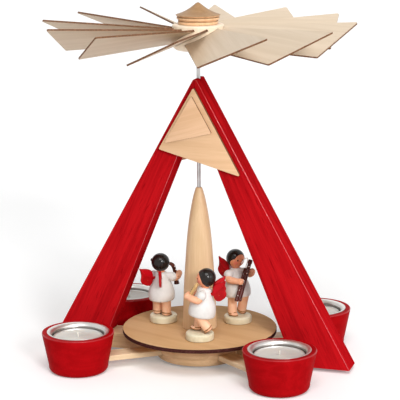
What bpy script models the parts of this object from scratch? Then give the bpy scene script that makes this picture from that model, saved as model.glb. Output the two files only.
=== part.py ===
"""Candle carousel: an A-shaped frame on four candle cups, with a turning shaft, turntable and propeller.

The origin is on the floor under the shaft, +X runs along the frame's width, -Y is the front and +Z is up.
All lengths are in metres.
"""

import math
from collections import namedtuple

import bmesh
import bpy
from mathutils import Matrix, Vector

# Clearances and cutting
FIT = 0.0003
SHAFT_CLEARANCE = 0.0004
SHAFT_HOLE_DEPTH = 0.0080
OVERRUN = 0.002
WELD = 0.000001
SMOOTH_ANGLE = math.radians(32)

# Candle cups, which are also the feet
CUP_BEARING = math.radians(35.863)
CUP_DEPTH = 0.0188
CUP_WEB = 0.0010
CUP_LIP = 0.0037
CUP_TAPER = 0.0056
CUP_FOOT_ROUND = 0.0048
CUP_RIM_ROUND = 0.0008
CUP_TURNTABLE_GAP = 0.0103
CUP_SEGMENTS = 28

# Metal inserts
INSERT_PLAY = 0.0007
INSERT_WALL = 0.0005
INSERT_FLARE = 0.0033
INSERT_PROUD = 0.0002
INSERT_FOOT_ROUND = 0.0008
INSERT_SEGMENTS = 24

# Tea lights
SHELL_RADIUS = 0.0190
SHELL_WALL = 0.0003
SHELL_HEIGHT = 0.0140
WAX_BELOW_RIM = 0.0012
WICK_RADIUS = 0.0006
WICK_HEIGHT = 0.0042
TEALIGHT_SEGMENTS = 20

# Boards and bars of the base
ARM_WIDTH = 0.0150
ARM_THICKNESS = 0.0042
ARM_BOTTOM = 0.0069
ARM_DEPTH_IN_CUP = 0.0060
ARM_DEPTH_IN_BLOCK = 0.0068
BASE_BOTTOM = 0.0028
BLOCK_OVER_RAIL = 0.0027
BLOCK_FOOT_SHARE = 0.955
BLOCK_SHOULDER_SHARE = 0.975
BLOCK_ROUND = 0.0014
BLOCK_SEGMENTS = 36
RAIL_BOTTOM = 0.0046
RAIL_HEIGHT = 0.0122

# A-shaped frame
FRAME_THICKNESS = 0.0205
FRAME_TURNTABLE_GAP = 0.0186
FRAME_FOOT_WIDTH = 0.0433
FRAME_RIDGE_HEIGHT = 0.2210
FRAME_RIDGE_HALF = 0.0013
FRAME_RIDGE_DEPTH = 0.0251
FRAME_EDGE = 0.0006
BOARD_EDGE = 0.0005

# Plywood gussets on the frame: corners as (across, down from the ridge)
GUSSET_THICKNESS = 0.0028
GUSSET_APEX = (0.0000, 0.0055)
GUSSET_SHORT_CORNER = (-0.0281, 0.0538)
GUSSET_LONG_CORNER = (0.0368, 0.0719)
COVER_THICKNESS = 0.0014
COVER_APEX = (-0.0011, 0.0115)
COVER_LEFT_CORNER = (-0.0233, 0.0489)
COVER_RIGHT_CORNER = (0.0147, 0.0396)
GUSSET_CORNER = 0.0009

# Foot bearing and shaft
BEARING_RADIUS = 0.0040
BEARING_WALL = 0.0009
BEARING_DEPTH = 0.0065
BEARING_PROUD = 0.0003
BEARING_FLOOR = 0.0012
BEARING_SEAT_SHARE = 0.55
BEARING_SEGMENTS = 16
SHAFT_RADIUS = 0.00145
SHAFT_POINT = 0.0026
SHAFT_CHAMFER = 0.0003
SHAFT_SEGMENTS = 12

# Turntable and cone post
TURNTABLE_RADIUS = 0.0602
TURNTABLE_RAISE = 0.0021
TURNTABLE_THICKNESS = 0.0030
TURNTABLE_EDGE = 0.0004
TURNTABLE_SEGMENTS = 52
CONE_RADIUS = 0.0134
CONE_HEIGHT = 0.1113
CONE_SEGMENTS = 24
CONE_HEIGHT_SHARES = (0.0, 0.19, 0.336, 0.47, 0.6235, 0.78, 0.908, 0.9776, 1.0)
CONE_RADIUS_SHARES = (1.0, 0.94, 0.888, 0.812, 0.724, 0.575, 0.388, 0.246, 0.19)

# Propeller
BLADE_COUNT = 12
BLADE_PHASE = math.radians(0.5)
BLADE_PITCH = math.radians(25)
BLADE_ABOVE_HUB_FOOT = 0.0110
BLADE_THICKNESS = 0.0013
BLADE_ROOT = 0.0130
BLADE_ROOT_LOW = 0.0145
BLADE_ROOT_HIGH = 0.0128
BLADE_TIP_LOW = (0.0972, 0.0258)
BLADE_TIP_HIGH = (0.1180, 0.0241)
BLADE_CORNER = 0.0012
HUB_RADIUS = 0.0196
HUB_ABOVE_RIDGE = 0.0215
HUB_HEIGHT = 0.0195
HUB_FOOT_ROUND = 0.0046
HUB_TOP_ROUND = 0.0014
HUB_BORE_ROOF = 0.0014
HUB_SEGMENTS = 36
CAP_PEG_RADIUS = 0.0030
CAP_PEG_LENGTH = 0.0040
CAP_HEIGHT = 0.0160
CAP_RADIUS = 0.0169
CAP_SEGMENTS = 24
CAP_RING_HEIGHT_SHARES = (0.0, 0.13, 0.17, 0.21, 0.30, 0.365, 0.405, 0.43)
CAP_RING_RADIUS_SHARES = (0.885, 0.900, 0.860, 0.930, 0.955, 0.925, 0.985, 1.0)
CAP_ROOF_HEIGHT_SHARES = (0.49, 0.575, 0.665, 0.85, 0.96)
CAP_ROOF_RADIUS_SHARES = (0.80, 0.615, 0.46, 0.20, 0.06)

# Figures: a turned plinth, a body with legs, dress and arms, a head, wings and an instrument
FIGURE_RING_RADIUS = 0.0327
PLINTH_RADIUS = 0.0109
PLINTH_HEIGHT = 0.0056
PLINTH_ROUND = 0.0017
PLINTH_SEGMENTS = 18
LEG_SPREAD = 0.0046
LEG_RADIUS = 0.0037
LEG_DEPTH_IN_DRESS = 0.0030
DRESS_BOTTOM = 0.0189
DRESS_TOP = 0.0412
DRESS_RADIUS = 0.0104
DRESS_HEIGHT_SHARES = (0.0, 0.05, 0.15, 0.27, 0.40, 0.54, 0.74, 0.90, 0.97, 1.0)
DRESS_RADIUS_SHARES = (0.84, 0.95, 1.0, 0.985, 0.93, 0.85, 0.70, 0.55, 0.44, 0.24)
DRESS_SEGMENTS = 16
SLEEVE_RADIUS = 0.0036
SLEEVE_SPREAD = 0.0082
SLEEVE_FORWARD = 0.0016
SLEEVE_DROP = 0.0042
FOREARM_RADIUS = 0.0027
LIMB_SEGMENTS = 8
HEAD_RADIUS = 0.0068
HAIR_RADIUS = 0.0073
HAIR_RAISE = 0.0004
HAIRLINE_FORWARD = 0.0018
HAIRLINE_UP = 0.0022
HAIRLINE_LEAN = math.radians(-12)
BALL_SEGMENTS = 12
WING_ROOT_DROP = 0.0037
WING_ROOT_HALF = 0.0016
WING_THICKNESS = 0.0018
WING_LENGTH = 0.0119
WING_OUT_SHARES = (0.0, 0.06, 0.22, 0.55, 0.84, 1.0, 0.91, 0.87, 0.93, 0.81, 0.52, 0.285, 0.14, 0.04)
WING_UP_SHARES = (0.09, 0.395, 0.605, 0.72, 0.77, 0.81, 0.555, 0.25, -0.02, -0.25, -0.44, -0.47,
                  -0.385, -0.19)

# How each figure stands. Steps go forward from the middle of its plinth. Each pair is right, then left.
HORN_STEP = -0.0014
HORN_LEG_STEPS = (-0.0032, -0.0014)
HORN_LEG_SWINGS = (0.0, 0.0)
RECORDER_STEP = 0.0011
RECORDER_LEG_STEPS = (0.0014, -0.0070)
RECORDER_LEG_SWINGS = (math.radians(-7), math.radians(32))
BASSOON_STEP = 0.0024
BASSOON_LIFT = 0.0025
BASSOON_LEG_STEPS = (-0.0010, -0.0022)
BASSOON_LEG_SWINGS = (0.0, math.radians(17))

# Instruments: places are (forward, left, up) from the middle of the dress's top, as shares of its radius
RECORDER_START_SHARES = (0.65, 0.00, 0.22)
RECORDER_END_SHARES = (1.12, 0.02, -1.02)
RECORDER_RADIUS = 0.0012
RECORDER_FLARE_SHARE = 1.30
BASSOON_BOTTOM_SHARES = (1.31, -0.77, -2.28)
BASSOON_TOP_SHARES = (0.98, 0.72, 0.58)
BASSOON_RADIUS = 0.0015
BASSOON_BOOT_RADIUS = 0.0014
BASSOON_BOOT_SHARE = 0.80
BASSOON_TUBE_PITCH = 0.0024
BASSOON_TUBE_BEARING = math.radians(-122)
CROOK_RADIUS = 0.0005
CROOK_SEGMENTS = 6
CROOK_CREST_SHARES = (0.92, 0.83, 0.89)
CROOK_FALL_SHARES = (0.87, 0.35, 0.94)
CROOK_MOUTH_SHARES = (0.66, 0.11, 0.37)
HORN_MOUTH_SHARES = (0.70, -0.12, 0.34)
HORN_CREST_SHARES = (1.12, -0.40, 0.54)
HORN_SHOULDER_SHARES = (1.21, -0.54, -0.12)
HORN_BELL_SHARES = (1.31, -0.57, -1.21)
HORN_RADIUS = 0.0009
HORN_BELL_RADIUS = 0.0021

RED_STAIN = (0.52, 0.008, 0.012)
PALE_WOOD = (0.80, 0.62, 0.42)


def clear_scene():
    for item in list(bpy.data.objects):
        bpy.data.objects.remove(item, do_unlink=True)


def finish(name, colour, roughness, metallic=0.0):
    """One Principled material for each named finish."""
    found = bpy.data.materials.get(name)
    if found:
        return found
    made = bpy.data.materials.new(name)
    made.use_nodes = True
    shader = made.node_tree.nodes["Principled BSDF"]
    shader.inputs["Base Color"].default_value = (*colour, 1.0)
    shader.inputs["Roughness"].default_value = roughness
    shader.inputs["Metallic"].default_value = metallic
    return made


def empty(name, parent=None, location=(0, 0, 0), turn=0.0):
    """A hidden-in-render axis that pieces hang from."""
    item = bpy.data.objects.new(name, None)
    item.empty_display_size = SHAFT_RADIUS
    bpy.context.collection.objects.link(item)
    item.parent = parent
    item.location = location
    item.rotation_euler = (0, 0, turn)
    return item


def add_object(name, mesh, surface, parent, location=(0, 0, 0), rotation=(0, 0, 0)):
    if surface:
        mesh.materials.append(surface)
    item = bpy.data.objects.new(name, mesh)
    bpy.context.collection.objects.link(item)
    item.parent = parent
    item.location = location
    item.rotation_euler = rotation
    return item


def mesh_from(name, bm, smooth=False):
    bmesh.ops.recalc_face_normals(bm, faces=bm.faces)
    mesh = bpy.data.meshes.new(name)
    bm.to_mesh(mesh)
    bm.free()
    if smooth:
        mesh.shade_smooth()
        mesh.set_sharp_from_angle(angle=SMOOTH_ANGLE)
    return mesh


def arc(centre, radius, start, end, steps):
    """Points of (radius, height) on an arc, both ends included, with angles in degrees."""
    angles = [math.radians(start + (end - start) * i / steps) for i in range(steps + 1)]
    return [(centre[0] + radius * math.cos(a), centre[1] + radius * math.sin(a)) for a in angles]


def turned_mesh(name, profile, segments, ring=False):
    """Revolve (radius, height) points about Z. A ring profile closes on itself, clear of the axis."""
    bm = bmesh.new()
    verts = [bm.verts.new((radius, 0, height)) for radius, height in profile]
    edges = [bm.edges.new(pair) for pair in zip(verts, verts[1:])]
    if ring:
        edges.append(bm.edges.new((verts[-1], verts[0])))
    bmesh.ops.spin(bm, geom=verts + edges, cent=(0, 0, 0), axis=(0, 0, 1), angle=math.tau,
                   steps=segments, use_merge=True)
    bmesh.ops.remove_doubles(bm, verts=bm.verts, dist=WELD)
    return mesh_from(name, bm, smooth=True)


def rounded(corners, radius, steps):
    """The outline with an arc of the given radius in each corner."""
    outline = []
    for i, corner in enumerate(corners):
        here = Vector(corner)
        back = (Vector(corners[i - 1]) - here).normalized()
        ahead = (Vector(corners[(i + 1) % len(corners)]) - here).normalized()
        half = back.angle(ahead) / 2
        centre = here + (back + ahead).normalized() * (radius / math.sin(half))
        first = here + back * (radius / math.tan(half)) - centre
        last = here + ahead * (radius / math.tan(half)) - centre
        turn = first.angle_signed(last)
        for step in range(steps + 1):
            outline.append(centre + Matrix.Rotation(-turn * step / steps, 2) @ first)
    return outline


def prism_mesh(name, outline, low, high, upright=True):
    """Extrude an outline of (across, up) points along Y, or of (x, y) points along Z, from low to high."""
    bm = bmesh.new()
    place = (lambda a, b: (a, low, b)) if upright else (lambda a, b: (a, b, low))
    face = bm.faces.new([bm.verts.new(place(a, b)) for a, b in outline])
    grown = bmesh.ops.extrude_face_region(bm, geom=[face])
    moved = [item for item in grown["geom"] if isinstance(item, bmesh.types.BMVert)]
    shift = (0, high - low, 0) if upright else (0, 0, high - low)
    bmesh.ops.translate(bm, verts=moved, vec=shift)
    return mesh_from(name, bm)


def box_mesh(name, low, high):
    corners = [(low[0], low[1]), (high[0], low[1]), (high[0], high[1]), (low[0], high[1])]
    return prism_mesh(name, corners, low[2], high[2], upright=False)


def rod_mesh(name, start, end, start_radius, end_radius, segments=LIMB_SEGMENTS):
    """A round-ended rod between two points, in the figure's own axes."""
    line = Vector(end) - Vector(start)
    half_turn = 90
    profile = arc((0, 0), start_radius, -half_turn, 0, 2) + arc((0, line.length), end_radius, 0, half_turn, 2)
    mesh = turned_mesh(name, [(max(radius, 0), height) for radius, height in profile], segments)
    aim = line.to_track_quat("Z", "Y").to_matrix().to_4x4()
    mesh.transform(Matrix.Translation(start) @ aim)
    return mesh


def ball_mesh(name, centre, radius, segments=BALL_SEGMENTS):
    rings = segments // 2 + 1
    profile = arc((0, 0), radius, -90, 90, rings)
    mesh = turned_mesh(name, [(max(across, 0), height) for across, height in profile], segments)
    mesh.transform(Matrix.Translation(centre))
    return mesh


def bend_with(item, mesh, operation, parent=None, location=(0, 0, 0), rotation=(0, 0, 0)):
    """Cut the mesh from the item, or join it on. The tool stays as a hidden wire object."""
    tool = add_object(mesh.name, mesh, None, parent, location, rotation)
    tool.display_type = "WIRE"
    tool.hide_render = True
    change = item.modifiers.new(mesh.name, "BOOLEAN")
    change.operation = operation
    change.solver = "EXACT"
    change.object = tool
    return tool


def soften(item, width):
    """A small chamfer on a sawn board's edges."""
    bevel = item.modifiers.new("edge", "BEVEL")
    bevel.width = width
    bevel.segments = 1
    bevel.limit_method = "ANGLE"
    bevel.angle_limit = SMOOTH_ANGLE


INSERT_RADIUS = SHELL_RADIUS + INSERT_PLAY + INSERT_WALL
CUP_TOP_RADIUS = INSERT_RADIUS + INSERT_FLARE + FIT + CUP_LIP
CUP_BOTTOM_RADIUS = CUP_TOP_RADIUS - CUP_TAPER
CUP_DISTANCE = TURNTABLE_RADIUS + CUP_TURNTABLE_GAP + CUP_TOP_RADIUS
CUP_OFFSET_X = CUP_DISTANCE * math.cos(CUP_BEARING)
CUP_OFFSET_Y = CUP_DISTANCE * math.sin(CUP_BEARING)
ARM_TOP = ARM_BOTTOM + ARM_THICKNESS
CUP_FLOOR = ARM_TOP + FIT + CUP_WEB
CUP_HEIGHT = CUP_FLOOR + CUP_DEPTH
INSERT_TOP = CUP_HEIGHT + INSERT_PROUD
FLARE_HEIGHT = INSERT_TOP - INSERT_WALL - INSERT_FLARE
INSERT_BOTTOM = CUP_FLOOR + FIT
SHELL_BOTTOM = INSERT_BOTTOM + INSERT_WALL + FIT
WAX_BOTTOM = SHELL_BOTTOM + SHELL_WALL + FIT
WAX_TOP = SHELL_BOTTOM + SHELL_HEIGHT - WAX_BELOW_RIM

FRAME_FACE = FRAME_THICKNESS / 2
FRAME_FOOT_INNER = TURNTABLE_RADIUS + FRAME_TURNTABLE_GAP
FRAME_FOOT_OUTER = FRAME_FOOT_INNER + FRAME_FOOT_WIDTH
FRAME_CROTCH_HEIGHT = FRAME_RIDGE_HEIGHT - FRAME_RIDGE_DEPTH
ARM_START = (FRAME_FACE + FIT + ARM_WIDTH / 2 * math.cos(CUP_BEARING)) / math.sin(CUP_BEARING)
BLOCK_RADIUS = ARM_START + ARM_DEPTH_IN_BLOCK
RAIL_TOP = RAIL_BOTTOM + RAIL_HEIGHT
BLOCK_TOP = RAIL_TOP + BLOCK_OVER_RAIL
BEARING_BOTTOM = BLOCK_TOP - BEARING_DEPTH
BEARING_TOP = BLOCK_TOP + BEARING_PROUD
TURNTABLE_TOP = BEARING_TOP + TURNTABLE_RAISE + TURNTABLE_THICKNESS

SHAFT_BORE = SHAFT_RADIUS + SHAFT_CLEARANCE
HUB_BOTTOM = FRAME_RIDGE_HEIGHT + HUB_ABOVE_RIDGE
HUB_TOP = HUB_BOTTOM + HUB_HEIGHT
BLADE_HEIGHT = HUB_BOTTOM + BLADE_ABOVE_HUB_FOOT
PEG_FLOOR = HUB_TOP - CAP_PEG_LENGTH - FIT
BORE_ROOF = PEG_FLOOR - HUB_BORE_ROOF
SHAFT_TOP = BORE_ROOF - SHAFT_CLEARANCE

HEAD_HEIGHT = DRESS_TOP + FIT + HAIR_RADIUS - HAIR_RAISE
SLEEVE_HEIGHT = DRESS_TOP - SLEEVE_DROP
WING_ROOT_HEIGHT = DRESS_TOP - WING_ROOT_DROP


def cup_side_radius(height):
    return CUP_BOTTOM_RADIUS + (CUP_TOP_RADIUS - CUP_BOTTOM_RADIUS) * height / CUP_HEIGHT


def leg_inner_x(height):
    rise = (height - BASE_BOTTOM) / (FRAME_CROTCH_HEIGHT - BASE_BOTTOM)
    return FRAME_FOOT_INNER * (1 - rise)


def dress_radius(height):
    """The radius of the dress at a height over the turntable, read along its profile."""
    rise = (height - DRESS_BOTTOM) / (DRESS_TOP - DRESS_BOTTOM)
    steps = list(zip(DRESS_HEIGHT_SHARES, DRESS_RADIUS_SHARES))
    for (low, wide), (high, narrow) in zip(steps, steps[1:]):
        if rise <= high:
            return DRESS_RADIUS * (wide + (narrow - wide) * (rise - low) / (high - low))
    return DRESS_RADIUS * DRESS_RADIUS_SHARES[-1]


def from_neck(shares):
    """A figure's place, measured from the middle of the dress's top in shares of the dress's radius."""
    return Vector((0, 0, DRESS_TOP)) + Vector(shares) * DRESS_RADIUS


def cup_profile():
    foot = cup_side_radius(CUP_FOOT_ROUND)
    side = arc((foot - CUP_FOOT_ROUND, CUP_FOOT_ROUND), CUP_FOOT_ROUND, -90, 0, 2)
    rim = arc((CUP_TOP_RADIUS - CUP_RIM_ROUND, CUP_HEIGHT - CUP_RIM_ROUND), CUP_RIM_ROUND, 0, 90, 2)
    lip = INSERT_RADIUS + INSERT_FLARE
    seat = arc((lip, FLARE_HEIGHT), INSERT_FLARE - FIT, 90, 180, 2)
    recess = [(lip + FIT, CUP_HEIGHT), (lip + FIT, seat[0][1])]
    return [(0, 0), *side, *rim, *recess, *seat, (INSERT_RADIUS + FIT, CUP_FLOOR), (0, CUP_FLOOR)]


def insert_profile():
    lip = (INSERT_RADIUS + INSERT_FLARE, FLARE_HEIGHT)
    foot = arc((INSERT_RADIUS - INSERT_FOOT_ROUND, INSERT_BOTTOM + INSERT_FOOT_ROUND),
               INSERT_FOOT_ROUND, -90, 0, 1)
    outside = arc(lip, INSERT_FLARE, 180, 90, 2)
    inside = arc(lip, INSERT_FLARE + INSERT_WALL, 90, 180, 2)
    floor = INSERT_BOTTOM + INSERT_WALL
    return [(0, INSERT_BOTTOM), *foot, *outside, *inside, (INSERT_RADIUS - INSERT_WALL, floor), (0, floor)]


def shell_profile():
    top = SHELL_BOTTOM + SHELL_HEIGHT
    inner = SHELL_RADIUS - SHELL_WALL
    floor = SHELL_BOTTOM + SHELL_WALL
    return [(0, SHELL_BOTTOM), (SHELL_RADIUS, SHELL_BOTTOM), (SHELL_RADIUS, top), (inner, top),
            (inner, floor), (0, floor)]


def wax_profile():
    radius = SHELL_RADIUS - SHELL_WALL - FIT
    tip = WAX_TOP + WICK_HEIGHT
    return [(0, WAX_BOTTOM), (radius, WAX_BOTTOM), (radius, WAX_TOP), (WICK_RADIUS, WAX_TOP),
            (WICK_RADIUS, tip), (0, tip)]


def build_cup_station(label, side_x, side_y, stand):
    """One cup with its insert, tea light and the arm that carries it."""
    place = (side_x * CUP_OFFSET_X, side_y * CUP_OFFSET_Y, 0)
    bearing = math.atan2(place[1], place[0])
    inward = bearing + math.pi
    red = finish("red_stained_wood", RED_STAIN, 0.42)
    cup = add_object(f"candle_cup_{label}", turned_mesh(f"cup_{label}", cup_profile(), CUP_SEGMENTS),
                     red, stand, place, (0, 0, inward))
    side = cup_side_radius(ARM_BOTTOM)
    half = ARM_WIDTH / 2 + FIT
    slot = box_mesh(f"cup_slot_{label}", (side - ARM_DEPTH_IN_CUP - FIT, -half, ARM_BOTTOM - FIT),
                    (CUP_TOP_RADIUS + OVERRUN, half, ARM_TOP + FIT))
    bend_with(cup, slot, "DIFFERENCE", stand, place, (0, 0, inward))
    metal = finish("insert_metal", (0.78, 0.77, 0.75), 0.28, 1.0)
    add_object(f"cup_insert_{label}", turned_mesh(f"insert_{label}", insert_profile(), INSERT_SEGMENTS),
               metal, stand, place)

    arm_end = CUP_DISTANCE - side + ARM_DEPTH_IN_CUP
    arm = add_object(f"cup_arm_{label}",
                     box_mesh(f"arm_{label}", (ARM_START + FIT, -ARM_WIDTH / 2, ARM_BOTTOM),
                              (arm_end, ARM_WIDTH / 2, ARM_TOP)),
                     finish("pale_wood", PALE_WOOD, 0.5), stand, rotation=(0, 0, bearing))
    soften(arm, BOARD_EDGE)

    lift = empty(f"tealight_axis_{label}", None, place)
    add_object(f"tealight_shell_{label}", turned_mesh(f"shell_{label}", shell_profile(), TEALIGHT_SEGMENTS),
               finish("tealight_aluminium", (0.86, 0.86, 0.87), 0.3, 1.0), lift)
    add_object(f"tealight_wax_{label}", turned_mesh(f"wax_{label}", wax_profile(), TEALIGHT_SEGMENTS),
               finish("wax", (0.86, 0.84, 0.80), 0.45), lift)
    return bearing


def block_profile():
    foot = BLOCK_RADIUS * BLOCK_FOOT_SHARE
    shoulder = BLOCK_RADIUS * BLOCK_SHOULDER_SHARE
    low = arc((foot - BLOCK_ROUND, BASE_BOTTOM + BLOCK_ROUND), BLOCK_ROUND, -90, 0, 2)
    high = arc((shoulder - BLOCK_ROUND, BLOCK_TOP - BLOCK_ROUND), BLOCK_ROUND, 0, 90, 2)
    middle = (BASE_BOTTOM + BLOCK_TOP) / 2
    return [(0, BASE_BOTTOM), *low, (BLOCK_RADIUS, middle), *high, (0, BLOCK_TOP)]


def bearing_pocket(name):
    return turned_mesh(name, [(0, BEARING_BOTTOM - FIT), (BEARING_RADIUS + FIT, BEARING_BOTTOM - FIT),
                              (BEARING_RADIUS + FIT, BLOCK_TOP + OVERRUN), (0, BLOCK_TOP + OVERRUN)],
                       BEARING_SEGMENTS)


def build_base(stand, bearings):
    """Centre block with its mortises, the rail through it and the foot bearing."""
    wood = finish("block_wood", (0.68, 0.47, 0.28), 0.5)
    block = add_object("centre_block", turned_mesh("centre_block", block_profile(), BLOCK_SEGMENTS),
                       wood, stand)
    reach = BLOCK_RADIUS + OVERRUN
    tunnel = box_mesh("rail_tunnel", (-reach, -FRAME_FACE - FIT, RAIL_BOTTOM - FIT),
                      (reach, FRAME_FACE + FIT, RAIL_TOP + FIT))
    bend_with(block, tunnel, "DIFFERENCE", stand)
    half = ARM_WIDTH / 2 + FIT
    for number, bearing in enumerate(bearings):
        mortise = box_mesh(f"arm_mortise_{number}", (ARM_START, -half, ARM_BOTTOM - FIT),
                           (reach, half, ARM_TOP + FIT))
        bend_with(block, mortise, "DIFFERENCE", stand, rotation=(0, 0, bearing))
    bend_with(block, bearing_pocket("block_pocket"), "DIFFERENCE", stand)

    low_end = leg_inner_x(RAIL_BOTTOM) - FIT
    high_end = leg_inner_x(RAIL_TOP) - FIT
    outline = [(-low_end, RAIL_BOTTOM), (low_end, RAIL_BOTTOM), (high_end, RAIL_TOP), (-high_end, RAIL_TOP)]
    rail = add_object("frame_rail", prism_mesh("frame_rail", outline, -FRAME_FACE, FRAME_FACE),
                      finish("rail_wood", (0.62, 0.42, 0.25), 0.5), stand)
    soften(rail, BOARD_EDGE)
    bend_with(rail, bearing_pocket("rail_pocket"), "DIFFERENCE", stand)

    bore = BEARING_RADIUS - BEARING_WALL
    seat = BEARING_BOTTOM + BEARING_FLOOR
    profile = [(0, BEARING_BOTTOM), (BEARING_RADIUS, BEARING_BOTTOM), (BEARING_RADIUS, BEARING_TOP),
               (bore, BEARING_TOP), (bore * BEARING_SEAT_SHARE, seat + BEARING_WALL), (0, seat)]
    add_object("foot_bearing", turned_mesh("foot_bearing", profile, BEARING_SEGMENTS),
               finish("bearing_brass", (0.80, 0.62, 0.30), 0.3, 1.0), stand)


def plate_outline(*corners):
    """A gusset's outline from its corners, which count down from the ridge."""
    return rounded([(across, FRAME_RIDGE_HEIGHT - down) for across, down in corners], GUSSET_CORNER, 2)


def build_frame(stand):
    """The two mitred legs, drilled for the shaft, and the plywood gussets on them."""
    red = finish("red_stained_wood", RED_STAIN, 0.42)
    for label, side in (("left", -1), ("right", 1)):
        mitre = FIT / 2
        outline = [(mitre, FRAME_RIDGE_HEIGHT), (FRAME_RIDGE_HALF, FRAME_RIDGE_HEIGHT),
                   (FRAME_FOOT_OUTER, BASE_BOTTOM), (FRAME_FOOT_INNER, BASE_BOTTOM),
                   (mitre, FRAME_CROTCH_HEIGHT)]
        mesh = prism_mesh(f"frame_leg_{label}", [(side * x, z) for x, z in outline], -FRAME_FACE, FRAME_FACE)
        leg = add_object(f"frame_leg_{label}", mesh, red, stand)
        soften(leg, FRAME_EDGE)
        hole = turned_mesh(f"shaft_hole_{label}",
                           [(0, FRAME_CROTCH_HEIGHT - SHAFT_HOLE_DEPTH),
                            (SHAFT_BORE, FRAME_CROTCH_HEIGHT - SHAFT_HOLE_DEPTH),
                            (SHAFT_BORE, FRAME_RIDGE_HEIGHT + OVERRUN), (0, FRAME_RIDGE_HEIGHT + OVERRUN)],
                           SHAFT_SEGMENTS)
        bend_with(leg, hole, "DIFFERENCE", stand)

    ply = finish("plywood", (0.80, 0.56, 0.33), 0.55)
    near = FRAME_FACE + FIT
    far = near + GUSSET_THICKNESS
    front = plate_outline(GUSSET_APEX, GUSSET_SHORT_CORNER, GUSSET_LONG_CORNER)
    add_object("gusset_front", prism_mesh("gusset_front", front, -far, -near), ply, stand)
    rear = [(-x, z) for x, z in front]
    add_object("gusset_rear", prism_mesh("gusset_rear", rear, near, far), ply, stand)
    cover = plate_outline(COVER_APEX, COVER_LEFT_CORNER, COVER_RIGHT_CORNER)
    add_object("gusset_cover", prism_mesh("gusset_cover", cover, -far - FIT - COVER_THICKNESS, -far - FIT),
               ply, stand)


def build_rotor(rotor):
    """Shaft, turntable and cone post."""
    steel = finish("shaft_steel", (0.52, 0.51, 0.50), 0.3, 1.0)
    tip = BEARING_BOTTOM + BEARING_FLOOR + FIT
    profile = [(0, tip), (SHAFT_RADIUS, tip + SHAFT_POINT), (SHAFT_RADIUS, SHAFT_TOP - SHAFT_CHAMFER),
               (SHAFT_RADIUS - SHAFT_CHAMFER, SHAFT_TOP), (0, SHAFT_TOP)]
    add_object("shaft", turned_mesh("shaft", profile, SHAFT_SEGMENTS), steel, rotor)

    bottom = TURNTABLE_TOP - TURNTABLE_THICKNESS
    rim = TURNTABLE_RADIUS - TURNTABLE_EDGE
    disc = [(SHAFT_BORE, bottom), (TURNTABLE_RADIUS, bottom),
            (TURNTABLE_RADIUS, TURNTABLE_TOP - TURNTABLE_EDGE), (rim, TURNTABLE_TOP),
            (SHAFT_BORE, TURNTABLE_TOP)]
    add_object("turntable", turned_mesh("turntable", disc, TURNTABLE_SEGMENTS, ring=True),
               finish("turntable_wood", (0.60, 0.37, 0.18), 0.5), rotor)

    foot = TURNTABLE_TOP + FIT
    side = [(share * CONE_RADIUS, foot + height * CONE_HEIGHT)
            for share, height in zip(CONE_RADIUS_SHARES, CONE_HEIGHT_SHARES)]
    cone = [(SHAFT_BORE, foot), *side, (SHAFT_BORE, foot + CONE_HEIGHT)]
    add_object("cone_post", turned_mesh("cone_post", cone, CONE_SEGMENTS, ring=True),
               finish("cone_wood", (0.84, 0.58, 0.33), 0.5), rotor)


def blade_outline():
    corners = [(BLADE_ROOT, -BLADE_ROOT_LOW), (BLADE_TIP_LOW[0], -BLADE_TIP_LOW[1]), BLADE_TIP_HIGH,
               (BLADE_ROOT, BLADE_ROOT_HIGH)]
    return rounded(corners, BLADE_CORNER, 2)


def slot_cutter():
    """All the slanted slots of the hub in one tool: each is a blade's root with a gap all round."""
    bm = bmesh.new()
    long = HUB_RADIUS + OVERRUN - BLADE_ROOT + FIT
    wide = BLADE_ROOT_LOW + BLADE_ROOT_HIGH + 4 * FIT
    thick = BLADE_THICKNESS + 2 * FIT
    middle = Vector((BLADE_ROOT - FIT + long / 2, (BLADE_ROOT_HIGH - BLADE_ROOT_LOW) / 2, 0))
    for number in range(BLADE_COUNT):
        turn = Matrix.Rotation(BLADE_PHASE + number * math.tau / BLADE_COUNT, 4, "Z")
        pitch = Matrix.Rotation(BLADE_PITCH, 4, "X")
        size = Matrix.Diagonal((long, wide, thick, 1))
        up = Matrix.Translation((0, 0, BLADE_HEIGHT))
        bmesh.ops.create_cube(bm, size=1, matrix=up @ turn @ pitch @ Matrix.Translation(middle) @ size)
    return mesh_from("hub_slots", bm)


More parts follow.
